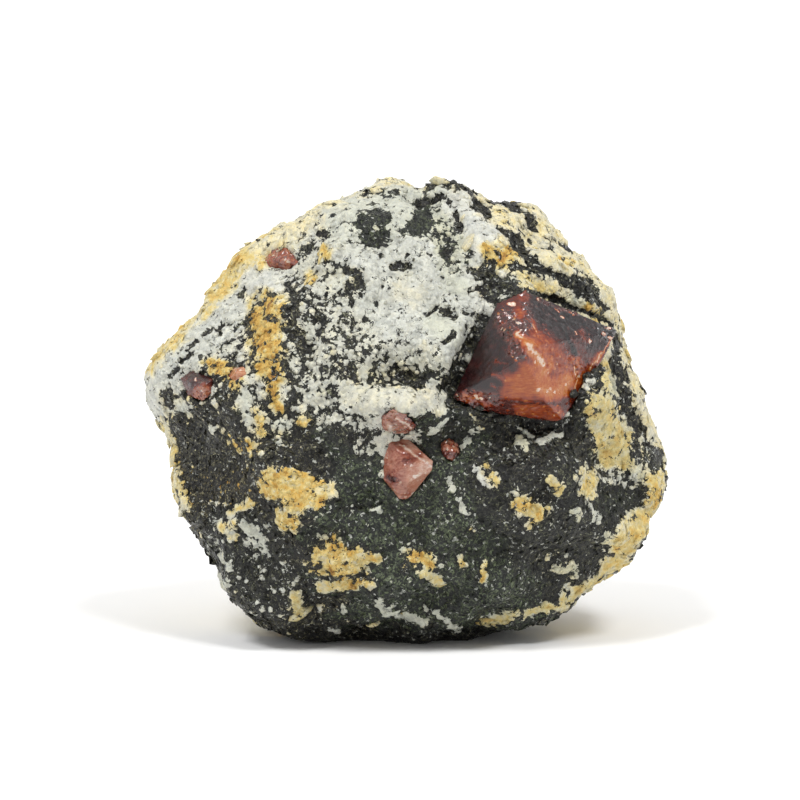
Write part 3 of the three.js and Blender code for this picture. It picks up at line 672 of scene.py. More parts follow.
# The relief of the grains, as shape: lumps of the skin, pale grains a little raised
# and each grain domed. The foot stays flat, and every vertex keeps the place where it
# lay, for the material.
relief = bpy.data.node_groups.new("grain_relief", "GeometryNodeTree")
relief.interface.new_socket("Geometry", in_out="INPUT", socket_type="NodeSocketGeometry")
relief.interface.new_socket("Geometry", in_out="OUTPUT", socket_type="NodeSocketGeometry")
arriving = add(relief, "NodeGroupInput")
bed = add(relief, "GeometryNodeInputPosition").outputs[0]
outward = add(relief, "GeometryNodeInputNormal").outputs[0]
pale_in, lift_in, foot_in, grainy_in = (
    add(relief, "GeometryNodeInputNamedAttribute", {"Name": name}, data_type="FLOAT")
    for name in ("pale", "lift", "off_foot", "grainy")
)
paleness, above, cells, bent = grain_pattern(relief, bed, pale_in, grainy_in)
bed_kept = add(
    relief, "GeometryNodeStoreNamedAttribute",
    {"Geometry": arriving, "Name": "bed", "Value": bed}, data_type="FLOAT_VECTOR", domain="POINT",
)
pale_kept = add(
    relief, "GeometryNodeStoreNamedAttribute",
    {"Geometry": bed_kept, "Name": "paleness", "Value": paleness}, data_type="FLOAT", domain="POINT",
)
lumps = add(
    relief, "ShaderNodeTexNoise", {"Vector": bed, "Scale": 1 / LUMP, "Detail": 4.0, "Roughness": 0.62},
)
centred = add(relief, "ShaderNodeMath", {0: lumps, 1: 0.5}, operation="SUBTRACT")
lumped = add(relief, "ShaderNodeMath", {0: centred, 1: 1.3, 2: lift_in}, operation="MULTIPLY_ADD")
raised = add(relief, "ShaderNodeMath", {0: paleness, 1: 0.06, 2: lumped}, operation="MULTIPLY_ADD")
doming = add(relief, "ShaderNodeMapRange", {"Value": grainy_in, "To Min": -0.03, "To Max": -0.24})
domed = add(relief, "ShaderNodeMath", {0: cells, 1: doming, 2: raised}, operation="MULTIPLY_ADD")
height = add(relief, "ShaderNodeMath", {0: domed, 1: foot_in}, operation="MULTIPLY")
metres = add(relief, "ShaderNodeMath", {0: height, 1: MM}, operation="MULTIPLY")
offset = add(relief, "ShaderNodeVectorMath", {0: outward, "Scale": metres}, operation="SCALE")
moved = add(relief, "GeometryNodeSetPosition", {"Geometry": pale_kept, "Offset": offset})
add(relief, "NodeGroupOutput", {0: moved})
rock.modifiers.new("grain_relief", "NODES").node_group = relief
settle(rock)
for vertex in rock.data.vertices:
    vertex.co.z = max(vertex.co.z, 0.0)
rock.data.shade_smooth()

# Weathered pegmatite, broken by hand: each grain has its own cleavage face, so
# neighbours catch the light differently. The feldspar is dull, the mica shines.
rock_material = new_material("weathered pegmatite")
tree = rock_material.node_tree
bed = add(tree, "ShaderNodeAttribute", attribute_name="bed").outputs["Vector"]
pale_share, stain_share, green_share, grainy = (
    add(tree, "ShaderNodeAttribute", attribute_name=name).outputs["Fac"]
    for name in ("pale", "stain", "green", "grainy")
)
paleness, above, cells, bent = grain_pattern(tree, bed, pale_share, grainy)
tone = add(tree, "ShaderNodeSeparateXYZ", {0: cells.outputs[1]})


def set_ramp(node, stops):
    """Gives a colour ramp its stops: the place of each and its colour."""
    elements = node.color_ramp.elements
    while len(elements) < len(stops):
        elements.new(0.5)
    for element, stop in zip(elements, stops):
        element.position = stop[0]
    for element, stop in zip(elements, stops):
        element.color = linear(stop[1])


# The pale grains: grey-white feldspar, its stain in soft clouds from cream to rust.
cloud = add(
    tree, "ShaderNodeTexNoise", {"Vector": bed, "Scale": 1 / CLOUD, "Detail": 5.0, "Roughness": 0.7},
)
cloud_off = add(tree, "ShaderNodeMath", {0: cloud, 1: 0.5}, operation="SUBTRACT")
tone_off = add(tree, "ShaderNodeMath", {0: tone.outputs[2], 1: 0.5}, operation="SUBTRACT")
mottle = add(tree, "ShaderNodeMath", {0: tone_off, 1: 0.09, 2: cloud_off}, operation="MULTIPLY_ADD")
mottle_reach = add(
    tree, "ShaderNodeMapRange", {"Value": stain_share, "From Max": 0.6, "To Min": 0.15, "To Max": 1.6},
)
stain_here = add(
    tree, "ShaderNodeMath", {0: mottle, 1: mottle_reach, 2: stain_share}, operation="MULTIPLY_ADD",
)
stained = add(tree, "ShaderNodeValToRGB", {0: stain_here})
set_ramp(stained, [
    (0.0, "#d0d1c9"), (0.12, "#d3d1c2"), (0.32, "#e1d7b3"), (0.5, "#dcc680"),
    (0.7, "#c8a04a"), (0.95, "#8a5f28"),
])
greened = add(tree, "ShaderNodeMath", {0: green_share, 1: 0.45}, operation="MULTIPLY")
pale_green = add(tree, "ShaderNodeMix", {0: greened, 6: stained, 7: linear("#a9ae8c")}, data_type="RGBA")
clots = add(
    tree, "ShaderNodeTexNoise", {"Vector": bent, "Scale": 1 / CLOT, "Detail": 4.0, "Roughness": 0.7},
)
clot_off = add(tree, "ShaderNodeMath", {0: clots, 1: 0.5}, operation="SUBTRACT")
dimmest = add(
    tree, "ShaderNodeMapRange", {"Value": grainy, "From Max": 0.5, "To Min": 0.84, "To Max": 0.66},
)
brightness = add(
    tree, "ShaderNodeMapRange",
    {"Value": tone.outputs[1], "From Max": 0.5, "To Min": dimmest, "To Max": 1.04},
)
clouded = add(tree, "ShaderNodeMath", {0: cloud_off, 1: 0.7, 2: brightness}, operation="MULTIPLY_ADD")
clot_reach = add(
    tree, "ShaderNodeMapRange",
    {"Value": grainy, "From Min": 0.02, "From Max": 0.14, "To Min": 0.25, "To Max": 0.8},
)
clotted = add(tree, "ShaderNodeMath", {0: clot_off, 1: clot_reach, 2: clouded}, operation="MULTIPLY_ADD")
seams = add(tree, "ShaderNodeTexVoronoi", {"Vector": bent, "Scale": 1 / GRAIN}, feature="DISTANCE_TO_EDGE")
# Painted shade in the seams between the grains.
seam_shade = add(
    tree, "ShaderNodeMapRange", {"Value": seams, "From Max": 0.08, "To Min": 0.86, "To Max": 1.0},
)
# Painted highlight: a lighter rim round each pale grain, its middle a little greyer.
painted_rim_highlight = add(
    tree, "ShaderNodeMapRange",
    {"Value": above, "From Min": 0.05, "From Max": 0.2, "To Min": 1.12, "To Max": 0.96},
)
shaded = add(tree, "ShaderNodeMath", {0: clotted, 1: seam_shade}, operation="MULTIPLY")
rim_highlighted = add(tree, "ShaderNodeMath", {0: shaded, 1: painted_rim_highlight}, operation="MULTIPLY")
pale_colour = add(
    tree, "ShaderNodeVectorMath", {0: pale_green.outputs[2], "Scale": rim_highlighted}, operation="SCALE",
)

# The dark grains: mica in sheaves of fine fibres, each sheaf lying its own way, and
# hornblende in tiny green-black specks. Here and there a fleck is painted near white as a glint.
sheaves = add(tree, "ShaderNodeTexVoronoi", {"Vector": bent, "Scale": 1 / SHEAF}, feature="F1")
sheaf_tone = add(tree, "ShaderNodeSeparateXYZ", {0: sheaves.outputs[1]})
sheaf_turn = add(tree, "ShaderNodeMath", {0: sheaf_tone, 1: math.pi}, operation="MULTIPLY")
sheaf_place = add(
    tree, "ShaderNodeVectorRotate", {"Vector": bent, "Angle": sheaf_turn}, rotation_type="Y_AXIS",
)
fibre_place = add(
    tree, "ShaderNodeMapping", {"Vector": sheaf_place, "Scale": tuple(1 / length for length in FIBRE)},
)
fibres = add(
    tree, "ShaderNodeTexNoise", {"Vector": fibre_place, "Scale": 1.0, "Detail": 3.0, "Roughness": 0.65},
)
flecks = add(tree, "ShaderNodeTexVoronoi", {"Vector": bent, "Scale": 1 / FLECK}, feature="F1")
fleck_tone = add(tree, "ShaderNodeSeparateXYZ", {0: flecks.outputs[1]})
speck = add(tree, "ShaderNodeMapRange", {"Value": fleck_tone.outputs[1], "To Min": 0.45, "To Max": 0.63})
dark_light = add(tree, "ShaderNodeMix", {0: green_share, 2: fibres, 3: speck})
dark_shade = add(tree, "ShaderNodeValToRGB", {0: dark_light})
# The palest stop is painted glint on the mica fibres; the olive-tan stops below it are their own colour.
set_ramp(dark_shade, [
    (0.42, "#080807"), (0.51, "#161614"), (0.57, "#35332b"),
    (0.62, "#6f6b54"), (0.68, "#a9a58d"), (0.76, "#cfccbf"),
])
tanned = add(
    tree, "ShaderNodeMix",
    {0: stain_share, 6: (0.89, 0.92, 0.93, 1.0), 7: (1.22, 1.1, 0.74, 1.0)}, data_type="RGBA",
)
greening = add(
    tree, "ShaderNodeMix",
    {0: green_share, 6: tanned.outputs[2], 7: (0.82, 1.08, 0.97, 1.0)}, data_type="RGBA",
)
dark_tint = add(tree, "ShaderNodeVectorMath", {0: dark_shade, 1: greening.outputs[2]}, operation="MULTIPLY")
dark_cloud = add(tree, "ShaderNodeMath", {0: cloud_off, 1: 3.0, 2: 0.94}, operation="MULTIPLY_ADD")
# Dark grains are darkened beside pale ones into an outline: partly dark joints, partly painted shade at the
# edges of the raised pale grains.
edge_darkest = add(tree, "ShaderNodeMapRange", {"Value": green_share, "To Min": 0.3, "To Max": 0.75})
edge_shade = add(
    tree, "ShaderNodeMapRange",
    {"Value": above, "From Min": -0.2, "From Max": -0.05, "To Min": 1.0, "To Max": edge_darkest},
)
dark_edged = add(tree, "ShaderNodeMath", {0: dark_cloud, 1: edge_shade}, operation="MULTIPLY")
# Black and crack patches darken further, which also deepens the painted shade of the black at the foot and
# under the great zircon.
deep_shade = add(
    tree, "ShaderNodeMapRange",
    {"Value": pale_share, "From Min": -0.6, "From Max": -0.15, "To Min": 0.4, "To Max": 1.0},
)
deepened = add(tree, "ShaderNodeMath", {0: dark_edged, 1: deep_shade}, operation="MULTIPLY")
dark_colour = add(tree, "ShaderNodeVectorMath", {0: dark_tint, "Scale": deepened}, operation="SCALE")
# Painted glints: rare flecks painted near white, more of them where the grains stand proud.
painted_glint_bar = add(tree, "ShaderNodeMath", {0: grainy, 1: -0.03, 2: 0.98}, operation="MULTIPLY_ADD")
painted_glint = add(tree, "ShaderNodeMath", {0: fleck_tone, 1: painted_glint_bar}, operation="GREATER_THAN")
dark_with_painted_glints = add(
    tree, "ShaderNodeMix", {0: painted_glint, 6: dark_colour, 7: linear("#b9bbb2")}, data_type="RGBA",
)
rock_colour = add(
    tree, "ShaderNodeMix", {0: paleness, 6: dark_with_painted_glints.outputs[2], 7: pale_colour}, data_type="RGBA",
)

# Each grain's face leans its own way, and so does each fleck on it; grit and the
# fibres of the mica roughen them.
tilt = add(tree, "ShaderNodeVectorMath", {0: cells.outputs[1], 1: (0.5, 0.5, 0.5)}, operation="SUBTRACT")
tilt_reach = add(tree, "ShaderNodeMapRange", {"Value": grainy, "To Min": 0.12, "To Max": 0.7})
tilt_small = add(tree, "ShaderNodeVectorMath", {0: tilt, "Scale": tilt_reach}, operation="SCALE")
fleck_tilt = add(
    tree, "ShaderNodeVectorMath", {0: flecks.outputs[1], 1: (0.5, 0.5, 0.5)}, operation="SUBTRACT",
)
fleck_reach = add(tree, "ShaderNodeMapRange", {"Value": paleness, "To Min": 1.1, "To Max": 0.4})
fleck_small = add(tree, "ShaderNodeVectorMath", {0: fleck_tilt, "Scale": fleck_reach}, operation="SCALE")
geometry = add(tree, "ShaderNodeNewGeometry")
tilted_once = add(
    tree, "ShaderNodeVectorMath", {0: geometry.outputs["Normal"], 1: tilt_small}, operation="ADD",
)
tilted = add(tree, "ShaderNodeVectorMath", {0: tilted_once, 1: fleck_small}, operation="ADD")
facet = add(tree, "ShaderNodeVectorMath", {0: tilted}, operation="NORMALIZE")
grit = add(tree, "ShaderNodeTexNoise", {"Vector": bed, "Scale": 1 / GRIT, "Detail": 3.0, "Roughness": 0.7})
relief_height = add(tree, "ShaderNodeMath", {0: paleness, 1: 0.2, 2: grit}, operation="MULTIPLY_ADD")
fibre_height = add(tree, "ShaderNodeMath", {0: fibres, 1: 0.5, 2: relief_height}, operation="MULTIPLY_ADD")
grain_bump = add(
    tree, "ShaderNodeBump",
    {"Height": fibre_height, "Strength": 0.85, "Distance": 0.16 * MM, "Normal": facet},
)
dullness = add(tree, "ShaderNodeMapRange", {"Value": paleness, "To Min": 0.3, "To Max": 0.55})
softness = add(tree, "ShaderNodeMath", {0: paleness, 1: 0.35}, operation="MULTIPLY")
rock_face = add(
    tree, "ShaderNodeBsdfPrincipled",
    {
        "Base Color": rock_colour.outputs[2],
        "Roughness": dullness,
        "Normal": grain_bump,
        "Specular IOR Level": 0.42,
        "Subsurface Weight": softness,
        "Subsurface Radius": (1.0, 0.9, 0.7),
        "Subsurface Scale": 0.25 * MM,
    },
)
add(tree, "ShaderNodeOutputMaterial", {"Surface": rock_face})
rock.data.materials.clear()
rock.data.materials.append(rock_material)
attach(rock, "root")
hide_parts("matrix")

# ------------------------------------------------------- the grains on the rock
# Broken grains that stand proud of the rock's skin: blocks of feldspar, plates of
# mica, rounded lumps of crust, and crumbs on the lip of the great zircon's socket.
# Each kind is one joined mesh, sunk into the skin.
TOWARDS_EYE = 0.25
FRONT_SPACING = 0.45 * MM
BACK_SPACING = 0.6 * MM
LUMP_SPACING = 2.0 * MM
CRUMB_SPACING = 0.62 * MM
LIP_WIDTH = 0.75 * MM
SHAPES_OF_A_KIND = 8


def flake_shape(rng):
    """A crooked flake of mica about 1 across."""
    shape = bmesh.new()
    bmesh.ops.create_cube(shape, size=0.85)
    for vertex in shape.verts:
        vertex.co += Vector([rng.uniform(-0.2, 0.2) for _ in range(3)])
    bmesh.ops.triangulate(shape, faces=shape.faces)
    return shape


def grain_shape(rng):
    """A worn grain of feldspar about 1 across."""
    shape = bmesh.new()
    bmesh.ops.create_icosphere(shape, subdivisions=1, radius=0.55)
    for vertex in shape.verts:
        vertex.co += Vector([rng.uniform(-0.12, 0.12) for _ in range(3)])
    return shape


def lump_shape(rng):
    """A weathered lump about 1 across."""
    shape = bmesh.new()
    bmesh.ops.create_icosphere(shape, subdivisions=2, radius=0.5)
    seat = Vector((rng.random() * 90, 0, 0))
    for vertex in shape.verts:
        vertex.co += vertex.co.normalized() * 0.3 * noise.noise(vertex.co * 3 + seat)
    return shape


def pick_apart(candidates, places, spacing, rng):
    """Some of the candidates, each at least its own spacing from the others."""
    order = list(candidates)
    rng.shuffle(order)
    widest = float(np.max(spacing[order]))
    taken = []
    in_cell = {}
    around = list(itertools.product((-1, 0, 1), repeat=3))
    for index in order:
        place = places[index]
        x, y, z = (int(c // widest) for c in place)
        neighbours = (other for dx, dy, dz in around for other in in_cell.get((x + dx, y + dy, z + dz), ()))
        gaps = (place - places[other] for other in neighbours)
        if all(gap @ gap >= spacing[index] ** 2 for gap in gaps):
            taken.append(index)
            in_cell.setdefault((x, y, z), []).append(index)
    return np.array(taken)


def strew(name, make_shape, indices, widths, values, rng, flatness, sink, lean):
    """One joined mesh of grains, each turned to the rock's skin under it and sunk into it."""
    shapes = [make_shape(rng) for _ in range(SHAPES_OF_A_KIND)]
    chance = np.random.default_rng(rng.randrange(10**6))
    normals = skin_normals[indices]
    lean_to = chance.normal(0, lean, (len(indices), 3))
    up = normals + lean_to
    up /= np.linalg.norm(up, axis=1)[:, None]
    side = np.cross(up, chance.normal(0, 1, (len(indices), 3)))
    side /= np.linalg.norm(side, axis=1)[:, None]
    turn = np.stack([side, np.cross(up, side), up], axis=2)
    length = widths * chance.uniform(0.75, 1.3, len(indices))
    breadth = widths * chance.uniform(0.75, 1.1, len(indices))
    stretch = np.stack([length, breadth, widths * flatness], axis=1)
    centres = skin_places[indices] - normals * (widths * sink)[:, None]
    which = chance.integers(0, len(shapes), len(indices))
    all_places, all_faces, owners, start = [], [], [], 0
    for number, shape in enumerate(shapes):
        mine = np.flatnonzero(which == number)
        shape.verts.ensure_lookup_table()
        corners = np.array([v.co for v in shape.verts])
        faces = np.array([[v.index for v in f.verts] for f in shape.faces])
        spread = np.einsum("nij,nvj->nvi", turn[mine], stretch[mine][:, None, :] * corners[None])
        all_places.append((spread + centres[mine][:, None, :]).reshape(-1, 3))
        steps = start + np.arange(len(mine))[:, None, None] * len(corners)
        all_faces.append((faces[None] + steps).reshape(-1, 3))
        owners.append(np.repeat(mine, len(corners)))
        start += len(mine) * len(corners)
        shape.free()
    grain_places = np.concatenate(all_places)
    grain_places[:, 2] = np.maximum(grain_places[:, 2], 0.0)
    mesh = bpy.data.meshes.new(name)
    mesh.from_pydata(grain_places, [], np.concatenate(all_faces))
    owner = np.concatenate(owners)
    for attribute, column in values.items():
        write_values(mesh, attribute, np.broadcast_to(column, len(indices))[owner])
    layer = mesh.attributes.new("bed", "FLOAT_VECTOR", "POINT")
    layer.data.foreach_set("vector", grain_places.astype(np.float32).ravel())
    piece = new_piece(mesh, name)
    mesh.materials.append(rock_material)
    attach(piece, "root")
    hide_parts("matrix")
    return piece


rng = random.Random(7)
chance = np.random.default_rng(11)
skin_places, skin_normals = vertex_places(rock.data)
SKIN_VALUES = ("pale", "stain", "green", "grainy", "paleness", "off_foot")
skin = {name: read_values(rock.data, name) for name in SKIN_VALUES}
facing = -(skin_normals @ np.array(INTO_ROCK))
above_foot = skin["off_foot"] > 0.6
spacing = np.where(facing > TOWARDS_EYE, FRONT_SPACING, BACK_SPACING)
proud = skin["grainy"] * np.where(facing > TOWARDS_EYE, 1.0, 0.3) > chance.uniform(0, 1, len(skin_places))

pale_spots = np.flatnonzero((skin["paleness"] > 0.6) & above_foot & (skin["pale"] > 0.1) & proud)
chosen = pick_apart(pale_spots, skin_places, spacing, rng)
strew(
    "feldspar_grains", grain_shape, chosen, spacing[chosen] * chance.uniform(0.8, 1.6, len(chosen)),
    {
        "pale": 1.2,
        "stain": np.clip(skin["stain"][chosen] + chance.normal(0, 0.03, len(chosen)), 0, 1),
        "green": skin["green"][chosen],
        "grainy": 0.3,
    },
    rng, flatness=0.45, sink=0.1, lean=0.22,
).data.shade_smooth()

dark_spots = np.flatnonzero((skin["paleness"] < 0.4) & above_foot & proud)
chosen = pick_apart(dark_spots, skin_places, spacing * 1.2, rng)
strew(
    "mica_flakes", flake_shape, chosen, spacing[chosen] * chance.uniform(0.8, 1.7, len(chosen)),
    {
        "pale": np.minimum(skin["pale"][chosen], -0.1),
        "stain": skin["stain"][chosen],
        "green": skin["green"][chosen],
        "grainy": 0.3,
    },
    rng, flatness=0.28, sink=0.05, lean=0.22,
)

# Rounded lumps of weathered crust, a millimetre or two across, crowd the rim and
# the back, where water has softened the feldspar.
around_great = np.all(np.abs(skin_places - np.array(socket_middle)) < np.array(socket_half) * 2.2, axis=1)
crusted = (skin["pale"] > 0.9) & (skin["stain"] > 0.24) & (facing < 0.3)
crust_spots = np.flatnonzero(crusted & above_foot & ~around_great)
chosen = pick_apart(crust_spots, skin_places, np.full(len(skin_places), LUMP_SPACING), rng)
strew(
    "crust_lumps", lump_shape, chosen, MM * chance.uniform(1.1, 2.2, len(chosen)),
    {
        "pale": skin["pale"][chosen],
        "stain": np.clip(skin["stain"][chosen] + chance.normal(0, 0.06, len(chosen)), 0, 1),
        "green": skin["green"][chosen],
        "grainy": 0.15,
    },
    rng, flatness=0.36, sink=0.12, lean=0.15,
).data.shade_smooth()

# Crumbs of mica and feldspar lap over the foot of the great zircon, where the rock
# grew round it: they sit on the lip of its socket, below and beside it.
great_shape = joined_copy("zircon_great")
great_faces = BVHTree.FromBMesh(great_shape)
great_shape.free()
near_great = np.flatnonzero(around_great & (facing > 0.2) & (skin_places[:, 2] < socket_middle.z))
lip_spots = []
for index in near_great:
    place = Vector(skin_places[index])
    nearest, outward, _, distance = great_faces.find_nearest(place)
    outside = (place - nearest).dot(outward) > 0
    if outside and distance < LIP_WIDTH and Vector(skin_normals[index]).dot(outward) > -0.35:
        lip_spots.append(index)
chosen = pick_apart(lip_spots, skin_places, np.full(len(skin_places), CRUMB_SPACING), rng)
white_crumb = chance.uniform(0, 1, len(chosen)) > 0.88
strew(
    "lip_crumbs", lump_shape, chosen, MM * chance.uniform(0.6, 1.25, len(chosen)),
    {"pale": np.where(white_crumb, 1.2, -0.2), "stain": 0.1, "green": 0.15, "grainy": 0.3},
    rng, flatness=0.62, sink=0.0, lean=0.3,
).data.shade_smooth()

# ----------------------------------------------------------------- the zircons
# The great zircon is a blunt pyramid of greasy red-brown crystal; smaller ones sit
# in the feldspar. All grew in place and are held by the rock round them.
ZIRCON_IOR = 1.93

# The grain of a zircon: veils in it, growth lines and how far they lean, splinters and
# pits in its skin, patches of grease, and the facets that chips leave.
VEIL = 0.9 * MM
GROWTH_LINE = 0.16 * MM
GROWTH_LEAN = math.radians(40)
SPLINTER = 0.25 * MM
PIT = 0.35 * MM
GREASE = 0.7 * MM
CHIP = 0.7 * MM

# How light each part of a zircon is, from near black through plum and red-brown to
# the orange of its clear parts and the pale tan of its inner cracks; then how softly
# that part ends, in mm, and how chipped its skin is. The painted glow is light coming
# back out of clear parts, painted into their colour; the near-white tone is painted
# glints, and once a white chip.
ZIRCON_TONES = {
    "black": (0.03, 0.3, 0.9), "plum": (0.15, 0.8, 0.2), "purple": (0.2, 0.9, 0.1),
    "slate": (0.1, 0.3, 0.2), "red brown": (0.38, 0.7, 0.2), "granular": (0.38, 0.4, 0.8),
    "red": (0.50, 0.4, 0.4), "deep orange": (0.60, 0.3, 0.3), "glow": (0.63, 0.8, 0.15),
    "orange": (0.72, 0.45, 0.1), "splintered": (0.62, 0.3, 0.9), "tan": (0.83, 0.4, 0.2),
    "pale": (1.0, 0.15, 0.5), "scratch": (0.0, 0.12, 0.2), "glint": (1.7, 0.06, 0.7),
}
ZIRCON_PATCHES = [
    ("red brown", 9.0, (12.5, 7)),
    ("purple", 2.2, (9.0, 8.6), (8.0, 5.2), (7.0, 2.8)),
    ("purple", 1.0, (9.8, 9.6), (10.0, 5.4), (8.8, 3.4)),
    ("plum", 2.4, (14.4, 10.9), (19.0, 8.7)),
    ("plum", 1.0, (16.4, 8.2), (18.8, 7.4)),
    ("slate", 0.8, (15.6, 9.7), (17.2, 8.9)),
    ("black", 0.8, (20.0, 8.5), (20.9, 8.0)),
    # Painted glints on the black tip and along the upper edge.
    ("glint", 0.09, (20.2, 8.7), (20.5, 8.6)),
    ("glint", 0.09, (19.7, 8.2), (19.9, 8.1)),
    ("glint", 0.1, (20.3, 7.8), (20.6, 7.6)),
    ("glint", 0.07, (18.3, 7.6), (18.5, 7.4)),
    ("glint", 0.06, (15.6, 9.9), (15.8, 9.7)),
    ("glint", 0.06, (15.1, 10.6), (15.4, 10.4)),
    ("glint", 0.05, (17.0, 8.3), (17.1, 8.1)),
    ("glint", 0.06, (13.2, 11.7), (13.3, 11.5)),
    ("granular", 0.16, (13.4, 11.4), (15.2, 10.7), (17.4, 10.1)),
    ("red", 0.3, (17.6, 8.4), (18.0, 7.4)),
    ("granular", 1.2, (10.2, 9.5), (11.2, 7.9)),
    ("granular", 0.6, (11.9, 10.6), (12.6, 9.3)),
    ("granular", 0.45, (10.6, 6.4), (11.4, 5.9)),
    # Painted glow: a lighter translucent patch at the upper left.
    ("glow", 0.4, (11.3, 10.6), (11.6, 9.9)),
    ("red", 0.6, (11.8, 11.8)),
    # A white chip on the upper left edge, in the near-white tone.
    ("glint", 0.13, (10.3, 11.1), (11.0, 11.1)),
    # Painted glow in the middle of the great zircon.
    ("glow", 1.1, (13.2, 7.4), (14.8, 6.2)),
    ("red brown", 0.8, (16.9, 7.0), (17.7, 5.8)),
    ("deep orange", 0.9, (15.4, 5.2), (16.2, 3.8)),
    ("splintered", 0.6, (16.8, 5.6), (17.6, 4.4)),
    ("orange", 1.3, (11.2, 3.0), (13.0, 3.1), (14.6, 2.7)),
    ("orange", 0.7, (12.2, 4.7), (13.6, 4.2)),
    ("tan", 0.4, (13.6, 2.6), (15.2, 2.3)),
    # Painted glow at the left of the orange face.
    ("glow", 0.5, (10.3, 3.9), (10.0, 2.2)),
    ("tan", 0.7, (16.3, 3.6), (16.0, 2.6)),
    # Painted glow along the right lower edge.
    ("glow", 0.35, (16.5, 2.4), (17.8, 3.9), (19.4, 6.0)),
    # Painted highlight: a thin pale line along the right lower ridge to the tip.
    ("pale", 0.08, (18.4, 4.6), (19.4, 6.0), (20.8, 7.8)),
    ("tan", 0.35, (11.3, 8.1), (12.2, 7.2)),
    ("tan", 0.75, (12.7, 6.7), (13.3, 5.9), (14.0, 4.9)),
    ("pale", 0.2, (12.2, 7.2), (13.1, 6.1), (13.8, 5.2)),
    ("pale", 0.12, (11.2, 8.2), (11.7, 7.9)),
    # Painted glow: a thin lighter line beside the pale fracture.
    ("glow", 0.14, (12.9, 6.9), (13.7, 6.3), (14.3, 5.0)),
    ("deep orange", 0.16, (12.8, 9.6), (13.4, 8.0)),
    # Painted glint: a thin pale line on the upper face.
    ("pale", 0.06, (12.8, 9.2), (13.2, 8.4)),
    ("pale", 0.06, (16.8, 5.0), (17.2, 3.6), (16.8, 2.2)),
    ("deep orange", 0.8, (11.6, 0.9), (15.0, 0.4)),
    ("red brown", 0.12, (10.0, 1.5), (12.6, 1.3), (15.2, 1.2)),
    ("granular", 0.9, (5.2, 1.5), (8.4, 1.6)),
    ("splintered", 0.5, (6.0, 1.9), (7.4, 1.9)),
    # Painted glint on the lower left.
    ("glint", 0.09, (7.0, 2.1), (7.4, 1.7)),
    ("deep orange", 0.3, (7.6, 1.3), (8.4, 1.2)),
    ("scratch", 0.13, (15.7, 8.9), (16.2, 7.9), (17.0, 6.1)),
    ("red", 0.14, (9.2, 5.4), (10.3, 5.2)),
    ("red", 0.2, (9.0, 4.1), (9.8, 3.8)),
    ("red", 0.16, (8.6, 3.1), (9.1, 2.9)),
    # the centre crystal, the one above it and the bead
    ("orange", 3.2, (0.6, -5.2)),
    ("deep orange", 1.1, (-0.6, -4.0), (-1.0, -5.6)),
    ("granular", 0.35, (0.1, -4.6), (1.2, -4.2)),
    ("red", 0.3, (-0.9, -2.9), (-0.2, -3.2), (0.3, -3.9)),
    ("red", 0.5, (-1.2, -6.0), (-0.7, -6.6)),
    ("plum", 0.25, (-1.3, -6.1), (-0.9, -6.4)),
    ("deep orange", 0.6, (-0.2, -7.0), (0.3, -7.7)),
    ("pale", 0.14, (0.6, -8.0), (2.5, -5.6)),
    ("pale", 0.2, (0.9, -6.0), (1.6, -5.4)),
    ("tan", 0.8, (1.8, -5.0)),
    ("pale", 0.1, (-0.5, -3.1), (0.8, -4.0), (2.5, -5.2)),
    ("splintered", 1.8, (-0.3, -0.9)),
    ("granular", 0.4, (0.3, -0.6), (0.9, -1.2)),
    ("pale", 0.2, (-1.5, -1.0), (-1.0, -1.7), (0.0, -1.9)),
    ("pale", 0.1, (-0.8, -0.3), (0.4, -1.1)),
    ("splintered", 1.3, (4.5, -3.2)),
    ("granular", 0.3, (4.0, -3.7), (4.9, -3.9)),
    # the upper left, the left and the small trace between them
    ("splintered", 2.0, (-12.4, 15.2)),
    ("red", 0.6, (-13.2, 15.2), (-12.6, 14.6)),
    # Painted glint on the upper left zircon.
    ("glint", 0.06, (-11.9, 15.5), (-11.7, 15.4)),
    ("purple", 1.2, (-20.6, 3.6)),
    ("splintered", 0.9, (-20.3, 2.2)),
    # Painted glint on the left zircon.
    ("glint", 0.06, (-20.9, 3.6), (-20.8, 3.4)),
    ("tan", 1.0, (-16.4, 4.0)),
]


def tones_at(places):
    """How light and how chipped a zircon is at each place of its skin."""
    spots = on_face(places)[0]
    wander = np.stack([ripple(places, 0.9 * MM, 21), ripple(places, 0.9 * MM, 22)], axis=1)
    ragged = np.stack([ripple(places, 0.35 * MM, 23), ripple(places, 0.35 * MM, 24)], axis=1)
    spots = spots + wander * 0.2 + ragged * 0.1
    mixed = np.tile(np.array(ZIRCON_TONES["red brown"])[[0, 2]], (len(places), 1))
    for tone, half_width, *line in ZIRCON_PATCHES:
        light, softness, chipped = ZIRCON_TONES[tone]
        edge = min(softness, half_width)
        share = smooth_step(half_width - to_stroke(spots, line), -edge, edge)[:, None]
        mixed = mixed * (1 - share) + np.array([light, chipped]) * share
    return mixed


def chip_skin(piece, chipped, size, growth):
    """Grows a crystal into its socket and breaks its skin into small tilted facets where it is chipped."""
    places, normals = vertex_places(piece.data)
    middle = (places.min(axis=0) + places.max(axis=0)) / 2
    reach = (places.max(axis=0) - places.min(axis=0)) / 2
    grown = middle + (places - middle) * (1 + growth / reach)
    centres = np.array([noise.voronoi(Vector(p) / size)[1][0] for p in places])
    tilts = np.array([noise.cell_vector(Vector(c) * 3.7) for c in centres]) - 0.5
    steps = np.sum(tilts * (places - centres * size), axis=1) * (0.03 + 0.5 * chipped)
    swells = ripple(places, 1.8 * MM, 31) * 0.03 * MM + ripple(places, 0.4 * MM, 32) * 0.015 * MM
    moved = grown + normals * (np.clip(steps, -0.2 * MM, 0.1 * MM) + swells)[:, None]
    piece.data.vertices.foreach_set("co", moved.ravel())
    piece.data.update()


